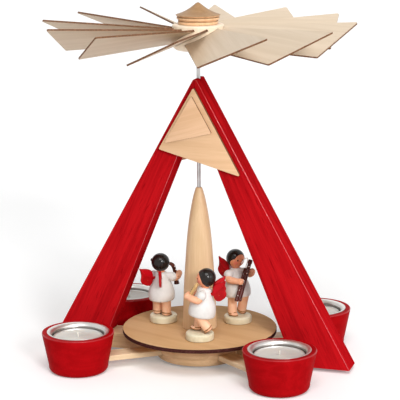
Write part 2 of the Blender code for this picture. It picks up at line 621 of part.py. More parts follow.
def build_propeller(propeller):
    """Hub with slanted slots and a blind bore, the cap pegged into it, and the blades."""
    pale = finish("hub_wood", (0.84, 0.68, 0.50), 0.5)
    foot = arc((HUB_RADIUS - HUB_FOOT_ROUND, HUB_BOTTOM + HUB_FOOT_ROUND), HUB_FOOT_ROUND, -90, 0, 2)
    top = arc((HUB_RADIUS - HUB_TOP_ROUND, HUB_TOP - HUB_TOP_ROUND), HUB_TOP_ROUND, 0, 90, 1)
    hole = CAP_PEG_RADIUS + FIT
    profile = [(0, BORE_ROOF), (SHAFT_BORE, BORE_ROOF), (SHAFT_BORE, HUB_BOTTOM), *foot, *top,
               (hole, HUB_TOP), (hole, PEG_FLOOR), (0, PEG_FLOOR)]
    hub = add_object("propeller_hub", turned_mesh("propeller_hub", profile, HUB_SEGMENTS), pale, propeller)
    bend_with(hub, slot_cutter(), "DIFFERENCE", propeller)

    seat = HUB_TOP + FIT
    rings = [(share * CAP_RADIUS, seat + height * CAP_HEIGHT)
             for share, height in zip(CAP_RING_RADIUS_SHARES, CAP_RING_HEIGHT_SHARES)]
    roof = [(share * CAP_RADIUS, seat + height * CAP_HEIGHT)
            for share, height in zip(CAP_ROOF_RADIUS_SHARES, CAP_ROOF_HEIGHT_SHARES)]
    peg = [(0, HUB_TOP - CAP_PEG_LENGTH), (CAP_PEG_RADIUS, HUB_TOP - CAP_PEG_LENGTH), (CAP_PEG_RADIUS, seat)]
    cap = [*peg, *rings, *roof, (0, seat + CAP_HEIGHT)]
    add_object("propeller_cap", turned_mesh("propeller_cap", cap, CAP_SEGMENTS),
               finish("cap_wood", (0.74, 0.47, 0.26), 0.45), propeller)

    blade = prism_mesh("blade", blade_outline(), -BLADE_THICKNESS / 2, BLADE_THICKNESS / 2, upright=False)
    ply = finish("blade_plywood", (0.80, 0.66, 0.52), 0.5)
    blade.materials.append(ply)
    for number in range(BLADE_COUNT):
        turn = BLADE_PHASE + number * math.tau / BLADE_COUNT
        add_object(f"blade_{number + 1:02d}", blade, None, propeller, (0, 0, BLADE_HEIGHT),
                   (BLADE_PITCH, 0, turn))


def leg_mesh(name, side, step, swing, top):
    """A straight round leg that stands or trails on the plinth and ends at a height inside the dress."""
    sole = FIT + PLINTH_HEIGHT + FIT + LEG_RADIUS * abs(math.sin(swing))
    length = (top - sole) / math.cos(swing)
    leg = turned_mesh(name, [(0, 0), (LEG_RADIUS, 0), (LEG_RADIUS, length), (0, length)], LIMB_SEGMENTS)
    leg.transform(Matrix.Translation((step, side * LEG_SPREAD, sole)) @ Matrix.Rotation(swing, 4, "Y"))
    return leg


def arm_meshes(name, forearms):
    for side in (-1, 1):
        yield ball_mesh(f"{name}_sleeve_{side}", (SLEEVE_FORWARD, side * SLEEVE_SPREAD, SLEEVE_HEIGHT),
                        SLEEVE_RADIUS, LIMB_SEGMENTS)
    for number, (elbow, hand) in enumerate(forearms):
        yield rod_mesh(f"{name}_forearm_{number}", from_neck(elbow), from_neck(hand), FOREARM_RADIUS,
                       FOREARM_RADIUS)


def build_body(name, pose, forearms, spot, stance):
    """The dress with the sleeves and forearms, joined on the legs that stand upright under it."""
    dress = [(share * DRESS_RADIUS, DRESS_BOTTOM + height * (DRESS_TOP - DRESS_BOTTOM))
             for share, height in zip(DRESS_RADIUS_SHARES, DRESS_HEIGHT_SHARES)]
    profile = [(0, DRESS_BOTTOM), *dress, (0, DRESS_TOP)]
    body = add_object(f"{name}_body", turned_mesh(f"{name}_dress", profile, DRESS_SEGMENTS),
                      finish("dress_white", (0.82, 0.82, 0.84), 0.5), stance)
    for mesh in arm_meshes(name, forearms):
        bend_with(body, mesh, "UNION", stance)
    top = pose.lift + DRESS_BOTTOM + LEG_DEPTH_IN_DRESS
    for side, step, swing in zip((-1, 1), pose.leg_steps, pose.leg_swings):
        bend_with(body, leg_mesh(f"{name}_leg_{side}", side, step, swing, top), "UNION", spot)


def build_head(name, stance):
    """A round face under a cap of hair, whose front is cut away to a hairline."""
    centre = Vector((0, 0, HEAD_HEIGHT))
    raised = centre + Vector((0, 0, HAIR_RAISE))
    hair = add_object(f"{name}_hair", ball_mesh(f"{name}_hair", raised, HAIR_RADIUS), None, stance)
    hair.display_type = "WIRE"
    hair.hide_render = True
    window = box_mesh(f"{name}_hairline", (HAIRLINE_FORWARD, -2 * HAIR_RADIUS, -2 * HAIR_RADIUS),
                      (2 * HAIR_RADIUS, 2 * HAIR_RADIUS, HAIRLINE_UP))
    bend_with(hair, window, "DIFFERENCE", stance, centre, (0, HAIRLINE_LEAN, 0))
    head = add_object(f"{name}_head", ball_mesh(f"{name}_face", centre, HEAD_RADIUS),
                      finish("skin", (0.90, 0.52, 0.34), 0.5), stance)
    join = head.modifiers.new("hair", "BOOLEAN")
    join.operation = "UNION"
    join.solver = "EXACT"
    join.object = hair


def build_wings(name, pose, stance):
    """Two leaf-shaped wings, rolled about the root that joins them behind the dress."""
    low = WING_ROOT_HEIGHT - WING_ROOT_HALF
    high = WING_ROOT_HEIGHT + WING_ROOT_HALF
    bridge = dress_radius(low) + FIT
    outline = []
    for out, up in zip(WING_OUT_SHARES, WING_UP_SHARES):
        turned = Matrix.Rotation(pose.wing_roll, 2) @ Vector((out, up)) * WING_LENGTH
        outline.append((bridge + turned.x, WING_ROOT_HEIGHT + turned.y))
    half = WING_THICKNESS / 2
    wings = add_object(f"{name}_wings", prism_mesh(f"{name}_wing_left", outline, -half, half),
                       finish("wing_red", (0.60, 0.010, 0.014), 0.35), stance,
                       rotation=(0, 0, math.pi + pose.wing_spread))
    other = prism_mesh(f"{name}_wing_right", outline, -half, half)
    bend_with(wings, other, "UNION", stance, rotation=(0, 0, math.pi - pose.wing_spread))
    reach = (bridge + half) * math.tan(pose.wing_spread)
    root = box_mesh(f"{name}_wing_root", (-bridge - WING_THICKNESS, -reach, low), (-bridge, reach, high))
    bend_with(wings, root, "UNION", stance)


def tube_mesh(name, points, radii, segments=LIMB_SEGMENTS):
    """A round tube through the points, each ring square to the path."""
    bm = bmesh.new()
    rings = []
    for i, (point, radius) in enumerate(zip(points, radii)):
        ahead = points[min(i + 1, len(points) - 1)] - points[max(i - 1, 0)]
        aim = ahead.to_track_quat("Z", "Y")
        ring = []
        for step in range(segments):
            turn = math.tau * step / segments
            spoke = Vector((radius * math.cos(turn), radius * math.sin(turn), 0))
            ring.append(bm.verts.new(point + aim @ spoke))
        rings.append(ring)
    for near, far in zip(rings, rings[1:]):
        for step in range(segments):
            after = (step + 1) % segments
            bm.faces.new((near[step], near[after], far[after], far[step]))
    bm.faces.new(rings[0])
    bm.faces.new(rings[-1])
    return mesh_from(name, bm, smooth=True)


def bezier(points, count):
    """Points on the smooth curve that four control points draw."""
    a, b, c, d = [Vector(point) for point in points]
    curve = []
    for i in range(count + 1):
        t = i / count
        curve.append(a * (1 - t) ** 3 + b * 3 * t * (1 - t) ** 2 + c * 3 * t * t * (1 - t) + d * t ** 3)
    return curve


def build_recorder(name, stance):
    mesh = rod_mesh(f"{name}_recorder", from_neck(RECORDER_START_SHARES), from_neck(RECORDER_END_SHARES),
                    RECORDER_RADIUS, RECORDER_RADIUS * RECORDER_FLARE_SHARE)
    add_object(f"{name}_recorder", mesh, finish("recorder_wood", (0.62, 0.40, 0.18), 0.4), stance)


def build_bassoon(name, stance):
    """Two joined tubes, the boot shorter than the bass joint, and a thin crook to the mouth."""
    bottom = from_neck(BASSOON_BOTTOM_SHARES)
    top = from_neck(BASSOON_TOP_SHARES)
    dark = finish("bassoon_wood", (0.10, 0.012, 0.012), 0.3)
    main = add_object(f"{name}_bassoon", rod_mesh(f"{name}_bass_joint", bottom, top, BASSOON_RADIUS,
                                                  BASSOON_RADIUS), dark, stance)
    side = Matrix.Rotation(BASSOON_TUBE_BEARING, 3, "Z") @ Vector((BASSOON_TUBE_PITCH, 0, 0))
    boot_top = bottom.lerp(top, BASSOON_BOOT_SHARE) + side
    boot = rod_mesh(f"{name}_boot", bottom + side, boot_top, BASSOON_BOOT_RADIUS, BASSOON_BOOT_RADIUS)
    bend_with(main, boot, "UNION", stance)
    path = bezier((boot_top, from_neck(CROOK_CREST_SHARES), from_neck(CROOK_FALL_SHARES),
                   from_neck(CROOK_MOUTH_SHARES)), 5)
    crook = tube_mesh(f"{name}_crook", path, [CROOK_RADIUS] * len(path), CROOK_SEGMENTS)
    bend_with(main, crook, "UNION", stance)


def build_horn(name, stance):
    corners = (HORN_MOUTH_SHARES, HORN_CREST_SHARES, HORN_SHOULDER_SHARES, HORN_BELL_SHARES)
    path = bezier([from_neck(shares) for shares in corners], 8)
    radii = [HORN_RADIUS + (HORN_BELL_RADIUS - HORN_RADIUS) * (i / 8) ** 2 for i in range(9)]
    add_object(f"{name}_horn", tube_mesh(f"{name}_horn", path, radii),
               finish("dark_gloss_paint", (0.07, 0.02, 0.012), 0.3), stance)


# Elbow and hand of the right and left forearms, as (forward, left, up) from the middle of the dress's top
RECORDER_FOREARM_SHARES = (((0.25, -0.81, -0.71), (1.14, -0.45, -0.81)),
                           ((0.29, 0.79, -0.79), (1.24, 0.43, -0.76)))
BASSOON_FOREARM_SHARES = (((0.15, -0.88, -0.65), (1.37, -0.67, -0.87)),
                          ((0.25, 0.85, -0.56), (1.06, 0.81, -0.31)))
HORN_FOREARM_SHARES = (((0.31, -0.87, -0.50), (1.27, -1.00, -0.44)),
                       ((0.25, 0.83, -0.65), (1.17, -0.04, -0.73)))

Pose = namedtuple("Pose", "bearing turn step lift lean leg_steps leg_swings wing_roll wing_spread")
HORN_POSE = Pose(math.radians(168.3), 0.0, HORN_STEP, 0.0, math.radians(3), HORN_LEG_STEPS, HORN_LEG_SWINGS,
                 0.0, math.radians(28))
RECORDER_POSE = Pose(math.radians(287.5), 0.0, RECORDER_STEP, 0.0, math.radians(7.5), RECORDER_LEG_STEPS,
                     RECORDER_LEG_SWINGS, math.radians(16), math.radians(28))
BASSOON_POSE = Pose(math.radians(40), math.radians(9.8), BASSOON_STEP, BASSOON_LIFT, math.radians(7),
                    BASSOON_LEG_STEPS, BASSOON_LEG_SWINGS, math.radians(14), math.radians(18))

FIGURES = (("angel_horn", HORN_POSE, HORN_FOREARM_SHARES, build_horn),
           ("angel_recorder", RECORDER_POSE, RECORDER_FOREARM_SHARES, build_recorder),
           ("angel_bassoon", BASSOON_POSE, BASSOON_FOREARM_SHARES, build_bassoon))


def plinth_profile():
    top = FIT + PLINTH_HEIGHT
    edge = arc((PLINTH_RADIUS - PLINTH_ROUND, top - PLINTH_ROUND), PLINTH_ROUND, 0, 90, 3)
    return [(0, FIT), (PLINTH_RADIUS, FIT), *edge, (0, top)]


def build_figure(name, pose, forearms, build_instrument, rotor):
    """One musician, who faces along the turntable's rim, clockwise as seen from above, and leans back."""
    place = (FIGURE_RING_RADIUS * math.cos(pose.bearing), FIGURE_RING_RADIUS * math.sin(pose.bearing),
             TURNTABLE_TOP)
    spot = empty(f"{name}_spot", rotor, place, pose.bearing - math.pi / 2 + pose.turn)
    stance = empty(f"{name}_stance", spot, (pose.step, 0, pose.lift))
    stance.rotation_euler = (0, -pose.lean, 0)
    add_object(f"{name}_plinth", turned_mesh(f"{name}_plinth", plinth_profile(), PLINTH_SEGMENTS),
               finish("plinth_paint", (0.68, 0.66, 0.45), 0.5), spot)
    build_body(name, pose, forearms, spot, stance)
    build_head(name, stance)
    build_wings(name, pose, stance)
    build_instrument(name, stance)


def main():
    clear_scene()
    stand = empty("stand_frame")
    rotor = empty("rotor_axis")
    propeller = empty("propeller_axis", rotor)
    bearings = []
    for label, side_x, side_y in (("front_left", -1, -1), ("front_right", 1, -1),
                                  ("rear_left", -1, 1), ("rear_right", 1, 1)):
        bearings.append(build_cup_station(label, side_x, side_y, stand))
    build_base(stand, bearings)
    build_frame(stand)
    build_rotor(rotor)
    build_propeller(propeller)
    for figure in FIGURES:
        build_figure(*figure, rotor)


main()
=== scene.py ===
"""Looks of a candle carousel: stained and natural wood, burnt plywood edges, tea lights and three musicians.

Lengths are in metres. Sizes come from the frame's boxes, and each musician is built in its own axes:
+X is where it faces, +Y its left hand and +Z up, from the turntable's top under the body's axis.
"""

from math import atan2, cos, pi, radians, sin, tan, tau

import bmesh
import bpy
from mathutils import Matrix, Vector


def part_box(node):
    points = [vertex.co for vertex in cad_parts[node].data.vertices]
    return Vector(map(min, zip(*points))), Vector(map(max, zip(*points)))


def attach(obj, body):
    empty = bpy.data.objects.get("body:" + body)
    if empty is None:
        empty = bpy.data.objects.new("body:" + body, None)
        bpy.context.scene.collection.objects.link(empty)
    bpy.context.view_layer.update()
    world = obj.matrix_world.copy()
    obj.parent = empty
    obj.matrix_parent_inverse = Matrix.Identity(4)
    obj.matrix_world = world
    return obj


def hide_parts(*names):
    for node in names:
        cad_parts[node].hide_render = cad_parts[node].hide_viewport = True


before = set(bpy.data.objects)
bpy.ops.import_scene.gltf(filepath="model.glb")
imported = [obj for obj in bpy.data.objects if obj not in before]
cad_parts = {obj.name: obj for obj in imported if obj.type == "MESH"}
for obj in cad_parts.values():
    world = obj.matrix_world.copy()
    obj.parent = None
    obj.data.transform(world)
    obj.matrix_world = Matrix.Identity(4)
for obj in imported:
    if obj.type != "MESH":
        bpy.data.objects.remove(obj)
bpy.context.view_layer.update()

MM = 0.001
WELD = 0.001 * MM
FINE = 96
COARSE = 40
SMOOTH_ANGLE = radians(34)
QUARTER = pi / 2

# A camera fitted to the cups, the frame and the propeller
CAMERA_AZIMUTH = radians(17.43)
CAMERA_ELEVATION = radians(12.63)
CAMERA_ROLL = radians(-0.31)
CAMERA_DISTANCE = 1271.55 * MM
CAMERA_TARGET = Vector((0, 0, 126.29 * MM))
CAMERA_LENS = 148.75
CAMERA_SENSOR = 36
CAMERA_SHIFT = 0.0024


def span(node):
    """Centre, size, lowest and highest corner of a CAD node."""
    low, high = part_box(node)
    return (low + high) / 2, high - low, low, high


class Finish:
    """A Principled material and the few nodes that its grain, wear and bump need."""

    def __init__(self, name, roughness=0.5, metallic=0, coat=0, coat_roughness=0.1, gloss=0.5):
        self.material = bpy.data.materials.new(name)
        self.material.use_nodes = True
        self.tree = self.material.node_tree
        self.shader = self.tree.nodes["Principled BSDF"]
        self.set(self.shader, Roughness=roughness, Metallic=metallic, Specular_IOR_Level=gloss,
                 Coat_Weight=coat, Coat_Roughness=coat_roughness)
        self.coords = self.node("TexCoord").outputs["Object"]

    def put(self, socket, value):
        """Link what another node gives, or write a plain number, place or colour."""
        if isinstance(value, bpy.types.NodeSocket):
            self.tree.links.new(value, socket)
        else:
            socket.default_value = (*value, 1) if socket.type == "RGBA" else value

    def set(self, node, **values):
        for name, value in values.items():
            self.put(node.inputs[name.replace("_", " ")], value)

    def node(self, kind, **values):
        made = self.tree.nodes.new(f"ShaderNode{kind}")
        self.set(made, **values)
        return made

    def mapped(self, turn=(0, 0, 0), scale=(1, 1, 1), shift=(0, 0, 0)):
        """Object coordinates turned so that the grain runs along X, then stretched."""
        turned = self.node("Mapping", Vector=self.coords, Rotation=turn, Location=shift)
        return self.node("Mapping", Vector=turned.outputs["Vector"], Scale=scale).outputs["Vector"]

    def noise(self, vector, scale, detail=2, roughness=0.5, distortion=0):
        return self.node("TexNoise", Vector=vector, Scale=scale, Detail=detail, Roughness=roughness,
                         Distortion=distortion).outputs["Fac"]

    def ramp(self, value, start, end):
        """A smooth step from 0 at start to 1 at end."""
        node = self.node("MapRange", Value=value, From_Min=start, From_Max=end)
        node.interpolation_type = "SMOOTHSTEP"
        return node.outputs["Result"]

    def math(self, operation, a, b):
        node = self.node("Math")
        node.operation = operation
        self.put(node.inputs[0], a)
        self.put(node.inputs[1], b)
        return node.outputs["Value"]

    def mix(self, share, a, b):
        node = self.node("Mix")
        node.data_type = "RGBA"
        for number, value in ((0, share), (6, a), (7, b)):
            self.put(node.inputs[number], value)
        return node.outputs[2]

    def bump(self, height, depth):
        node = self.node("Bump", Height=height, Strength=1, Distance=depth)
        self.put(self.shader.inputs["Normal"], node.outputs["Normal"])

    def paint(self, colour):
        self.put(self.shader.inputs["Base Color"], colour)

    def rough(self, value, low, high):
        node = self.node("MapRange", Value=value, To_Min=low, To_Max=high)
        self.put(self.shader.inputs["Roughness"], node.outputs["Result"])


def wood(name, light, dark, turn=(0, 0, 0), band=260, fibre=1500, tick=0.35, rough=(0.42, 0.58), coat=0,
         bump=0.03, shift=(0, 0, 0), gloss=0.25):
    """Wood whose grain runs along X before the turn: soft bands, fine fibres and short dark pores."""
    made = Finish(name, coat=coat, coat_roughness=0.22, gloss=gloss)
    bands = made.noise(made.mapped(turn, (0.05, 1, 1), shift), band, 3, 0.55, 0.4)
    fibres = made.noise(made.mapped(turn, (0.03, 1, 1), shift), fibre, 3, 0.6)
    pores = made.noise(made.mapped(turn, (0.09, 1, 1), shift), fibre * 0.62, 2, 0.5)
    middle = tuple((a + b) / 2 for a, b in zip(light, dark))
    body = made.mix(made.ramp(bands, 0.34, 0.68), light, middle)
    body = made.mix(made.math("MULTIPLY", made.ramp(fibres, 0.45, 0.75), 0.5), body, middle)
    ticks = made.math("MULTIPLY", made.ramp(pores, 0.6, 0.72), tick)
    made.paint(made.mix(ticks, body, dark))
    made.rough(fibres, *rough)
    made.bump(made.math("SUBTRACT", fibres, ticks), bump * MM)
    return made.material


def burnt(name, colour=(0.115, 0.045, 0.02)):
    """The brown edge that a laser leaves on plywood, with its plies as faint lines."""
    made = Finish(name, gloss=0.12)
    scorch = made.noise(made.mapped(), 700, 3, 0.6)
    lighter = tuple(min(1, part * 2.1 + 0.02) for part in colour)
    made.paint(made.mix(made.ramp(scorch, 0.45, 0.8), colour, lighter))
    made.rough(scorch, 0.55, 0.75)
    made.bump(scorch, 0.03 * MM)
    return made.material


BLUSH = (0.8, 0.19, 0.15)
BLUSH_REACH = 2.9 * MM
BLUSH_SHARE = 0.75


def lacquer(name, colour, shade, rough=0.3, coat=0.5, coat_roughness=0.08, ripple=0.02, blush=()):
    """Brushed paint with faint thick and thin places, and a soft red spot at each point of the blush."""
    made = Finish(name, roughness=rough, coat=coat, coat_roughness=coat_roughness, gloss=0.15)
    cloud = made.noise(made.mapped(), 260, 2, 0.5)
    fine = made.noise(made.mapped((0, 0, 0), (1, 1, 0.35)), 1300, 3, 0.55)
    body = made.mix(made.ramp(cloud, 0.3, 0.75), colour, shade)
    for spot in blush:
        away = made.node("VectorMath")
        away.operation = "DISTANCE"
        made.put(away.inputs[0], made.coords)
        made.put(away.inputs[1], spot)
        share = made.math("MULTIPLY", made.ramp(away.outputs["Value"], BLUSH_REACH, 0), BLUSH_SHARE)
        body = made.mix(share, body, BLUSH)
    made.paint(body)
    made.bump(fine, ripple * MM)
    return made.material


def metal(name, colour, shade, rough, stretch=(1, 1, 0.05), grain=1600):
    """Metal with fine drawn or turned lines, which run across the short side of the stretch."""
    made = Finish(name, metallic=1)
    lines = made.noise(made.mapped(scale=stretch), grain, 3, 0.6)
    smudge = made.noise(made.mapped(), 180, 2, 0.5)
    made.paint(made.mix(made.ramp(smudge, 0.3, 0.8), colour, shade))
    made.rough(lines, *rough)
    made.bump(lines, 0.01 * MM)
    return made.material


def outward(bm):
    bm.normal_update()
    bmesh.ops.recalc_face_normals(bm, faces=bm.faces)
    if bm.calc_volume(signed=True) < 0:
        bmesh.ops.reverse_faces(bm, faces=bm.faces)


def mesh_from(bm, name):
    mesh = bpy.data.meshes.new(name)
    bm.to_mesh(mesh)
    bm.free()
    return mesh


def smoothed(mesh):
    mesh.shade_smooth()
    mesh.set_sharp_from_angle(angle=SMOOTH_ANGLE)


def added(name, data):
    """A new object in the scene."""
    item = bpy.data.objects.new(name, data)
    bpy.context.scene.collection.objects.link(item)
    return item


def new_piece(name, bm, materials, body, replaces=(), place=None, paint=None):
    """Make the piece from its mesh, dress it, and let it ride on its CAD body."""
    outward(bm)
    if paint:
        bm.normal_update()
        for face in bm.faces:
            face.material_index = paint(face)
    mesh = mesh_from(bm, name)
    for material in materials:
        mesh.materials.append(material)
    smoothed(mesh)
    item = added(name, mesh)
    if place:
        item.matrix_world = place
    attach(item, body)
    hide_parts(*replaces)
    return item


def turned(profile, segments=FINE, ring=False):
    """Revolve (radius, height) points about Z."""
    bm = bmesh.new()
    verts = [bm.verts.new((radius, 0, height)) for radius, height in profile]
    edges = [bm.edges.new(pair) for pair in zip(verts, verts[1:])]
    if ring:
        edges.append(bm.edges.new((verts[-1], verts[0])))
    bmesh.ops.spin(bm, geom=verts + edges, cent=(0, 0, 0), axis=(0, 0, 1), angle=tau,
                   steps=segments, use_merge=True)
    bmesh.ops.remove_doubles(bm, verts=bm.verts, dist=WELD)
    return bm


def arc(centre, radius, start, end, steps=6):
    angles = [radians(start + (end - start) * i / steps) for i in range(steps + 1)]
    return [(centre[0] + radius * cos(a), centre[1] + radius * sin(a)) for a in angles]


def flowing(points, steps=5, closed=False):
    """A smooth line through the points (Catmull-Rom)."""
    dots = [Vector(point) for point in points]
    count = len(dots)
    line = []
    for i in range(count if closed else count - 1):
        near = dots[i - 1] if closed or i > 0 else dots[0] * 2 - dots[1]
        a, b = dots[i], dots[(i + 1) % count]
        far = dots[(i + 2) % count] if closed or i + 2 < count else dots[-1] * 2 - dots[-2]
        for step in range(steps):
            t = step / steps
            line.append(0.5 * (2 * a + (b - near) * t + (2 * near - 5 * a + 4 * b - far) * t ** 2
                               + (3 * a - near - 3 * b + far) * t ** 3))
    if not closed:
        line.append(dots[-1])
    return line


def rounded(corners, radius, steps=4):
    """The outline with an arc in each corner."""
    outline = []
    for i, corner in enumerate(corners):
        here = Vector(corner)
        back = (Vector(corners[i - 1]) - here).normalized()
        ahead = (Vector(corners[(i + 1) % len(corners)]) - here).normalized()
        half = back.angle(ahead) / 2
        centre = here + (back + ahead).normalized() * (radius / sin(half))
        first = here + back * (radius / tan(half)) - centre
        last = here + ahead * (radius / tan(half)) - centre
        turn = first.angle_signed(last)
        for step in range(steps + 1):
            outline.append(centre + Matrix.Rotation(-turn * step / steps, 2) @ first)
    return outline


def plate(outline, low, high, edge=0, steps=2, upright=False):
    """Extrude (a, b) points from low to high along Z, or along Y when upright, with eased arrises."""
    bm = bmesh.new()
    place = (lambda a, b: (a, low, b)) if upright else (lambda a, b: (a, b, low))
    face = bm.faces.new([bm.verts.new(place(a, b)) for a, b in outline])
    grown = bmesh.ops.extrude_face_region(bm, geom=[face])
    moved = [item for item in grown["geom"] if isinstance(item, bmesh.types.BMVert)]
    bmesh.ops.translate(bm, verts=moved, vec=(0, high - low, 0) if upright else (0, 0, high - low))
    outward(bm)
    if edge:
        caps = [item for item in bm.faces if len(item.verts) == len(outline)]
        rim = list({item for cap in caps for item in cap.edges})
        bmesh.ops.bevel(bm, geom=rim, offset=edge, segments=steps, profile=0.5, affect="EDGES")
    return bm


def tube(points, radii, segments=20, round_ends=True):
    """A round tube along the points, all in millimetres. Its ends may close in a dome."""
    dots = [Vector(point) for point in points]
    radii = [radii] * len(dots) if isinstance(radii, float) else list(radii)
    if round_ends:
        first = (dots[0] - dots[1]).normalized()
        last = (dots[-1] - dots[-2]).normalized()
        lead = [(dots[0] + first * radii[0] * sin(a), radii[0] * cos(a)) for a in (1.45, 1.1, 0.6)]
        tail = [(dots[-1] + last * radii[-1] * sin(a), radii[-1] * cos(a)) for a in (0.6, 1.1, 1.45)]
        dots = [dot for dot, _ in lead] + dots + [dot for dot, _ in tail]
        radii = [radius for _, radius in lead] + radii + [radius for _, radius in tail]
    bm = bmesh.new()
    aim = (dots[1] - dots[0]).to_track_quat("Z", "Y")
    side = aim @ Vector((1, 0, 0))
    rings = []
    for i, (dot, radius) in enumerate(zip(dots, radii)):
        ahead = (dots[min(i + 1, len(dots) - 1)] - dots[max(i - 1, 0)]).normalized()
        side = (side - ahead * side.dot(ahead)).normalized()
        other = ahead.cross(side)
        turns = [tau * step / segments for step in range(segments)]
        circle = [dot + radius * (side * cos(t) + other * sin(t)) for t in turns]
        rings.append([bm.verts.new(spot * MM) for spot in circle])
    for near, far in zip(rings, rings[1:]):
        for step in range(segments):
            after = (step + 1) % segments
            bm.faces.new((near[step], near[after], far[after], far[step]))
    bm.faces.new(rings[0])
    bm.faces.new(rings[-1])
    return bm


def ball(centre, radii, turn=None, segments=28):
    """An ellipsoid, turned about its centre, from millimetres."""
    bm = bmesh.new()
    size = Matrix.Diagonal((*[radius * MM for radius in radii], 1))
    place = Matrix.Translation(Vector(centre) * MM) @ (turn or Matrix.Identity(4)) @ size
    bmesh.ops.create_uvsphere(bm, u_segments=segments, v_segments=segments // 2 + 2, radius=1, matrix=place)
    return bm


def together(*parts):
    """Several meshes as one."""
    whole = bmesh.new()
    for part in parts:
        outward(part)
        mesh = mesh_from(part, "part")
        whole.from_mesh(mesh)
        bpy.data.meshes.remove(mesh)
    return whole


def carved(item, tools):
    """Cut each tool from the piece and keep the result as its mesh."""
    cutters = []
    for number, bm in enumerate(tools):
        outward(bm)
        name = f"{item.name}_tool_{number}"
        cutter = added(name, mesh_from(bm, name))
        cutter.matrix_world = item.matrix_world
        change = item.modifiers.new("cut", "BOOLEAN")
        change.operation = "DIFFERENCE"
        change.solver = "EXACT"
        change.object = cutter
        cutters.append(cutter)
    bpy.context.view_layer.update()
    graph = bpy.context.evaluated_depsgraph_get()
    result = bpy.data.meshes.new_from_object(item.evaluated_get(graph), depsgraph=graph)
    item.modifiers.clear()
    item.data = result
    smoothed(result)
    for cutter in cutters:
        bpy.data.objects.remove(cutter)


def box(low, high):
    (a, b, floor), (c, d, top) = low, high
    return plate([(a, b), (c, b), (c, d), (a, d)], floor, top)


def dress(node, material):
    """Give a CAD node its material. Its shape stays as it is."""
    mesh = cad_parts[node].data
    mesh.materials.clear()
    mesh.materials.append(material)


def faces_along(axis, limit=0.8):
    """Paint the faces that look along the axis with the first material and the others with the second."""
    return lambda face: 0 if abs(face.normal[axis]) > limit else 1


# Finishes of the wood

RED = (0.53, 0.0075, 0.0115)
RED_DARK = (0.25, 0.002, 0.004)


def red_board(name, lean):
    """Red stain on a board whose grain leans with the leg, with darker pores and a worn tone."""
    return wood(name, RED, RED_DARK, (0, lean, 0), 340, 1250, 0.7, (0.36, 0.5), 0, 0.035, gloss=0)


def red_turned(name, shift):
    """Red stain on a turned cup, whose grain shifts from one cup to the next."""
    return wood(name, (0.405, 0.0035, 0.006), (0.25, 0.0015, 0.0025), (0, 0, 0), 150, 900, 0.22,
                (0.34, 0.48), 0, 0.02, (shift, shift, 0), gloss=0.01)


PLY_LIGHT = (0.87, 0.568, 0.336)
PLY_DARK = (0.696, 0.406, 0.203)
BLADE_LIGHT = (0.708, 0.58, 0.441)
BLADE_DARK = (0.58, 0.452, 0.313)


# Stand

CUPS = ("front_left", "front_right", "rear_left", "rear_right")
CUP_FACETS = 28
CUP_FOOT_SHARE = 0.796
CUP_FOOT_ROUND = 4.8 * MM
CUP_RIM_ROUND = 0.9 * MM
INSERT_WALL = 0.5 * MM
INSERT_FLARE = 3.3 * MM
FOIL_WALL = 0.3 * MM
FOIL_SETBACK = 0.35 * MM
ARM_HALF_WIDTH = 7.5 * MM
PLAY = 0.3 * MM
BORE = 1.85 * MM


def upright_at(centre):
    return Matrix.Translation((centre.x, centre.y, 0))


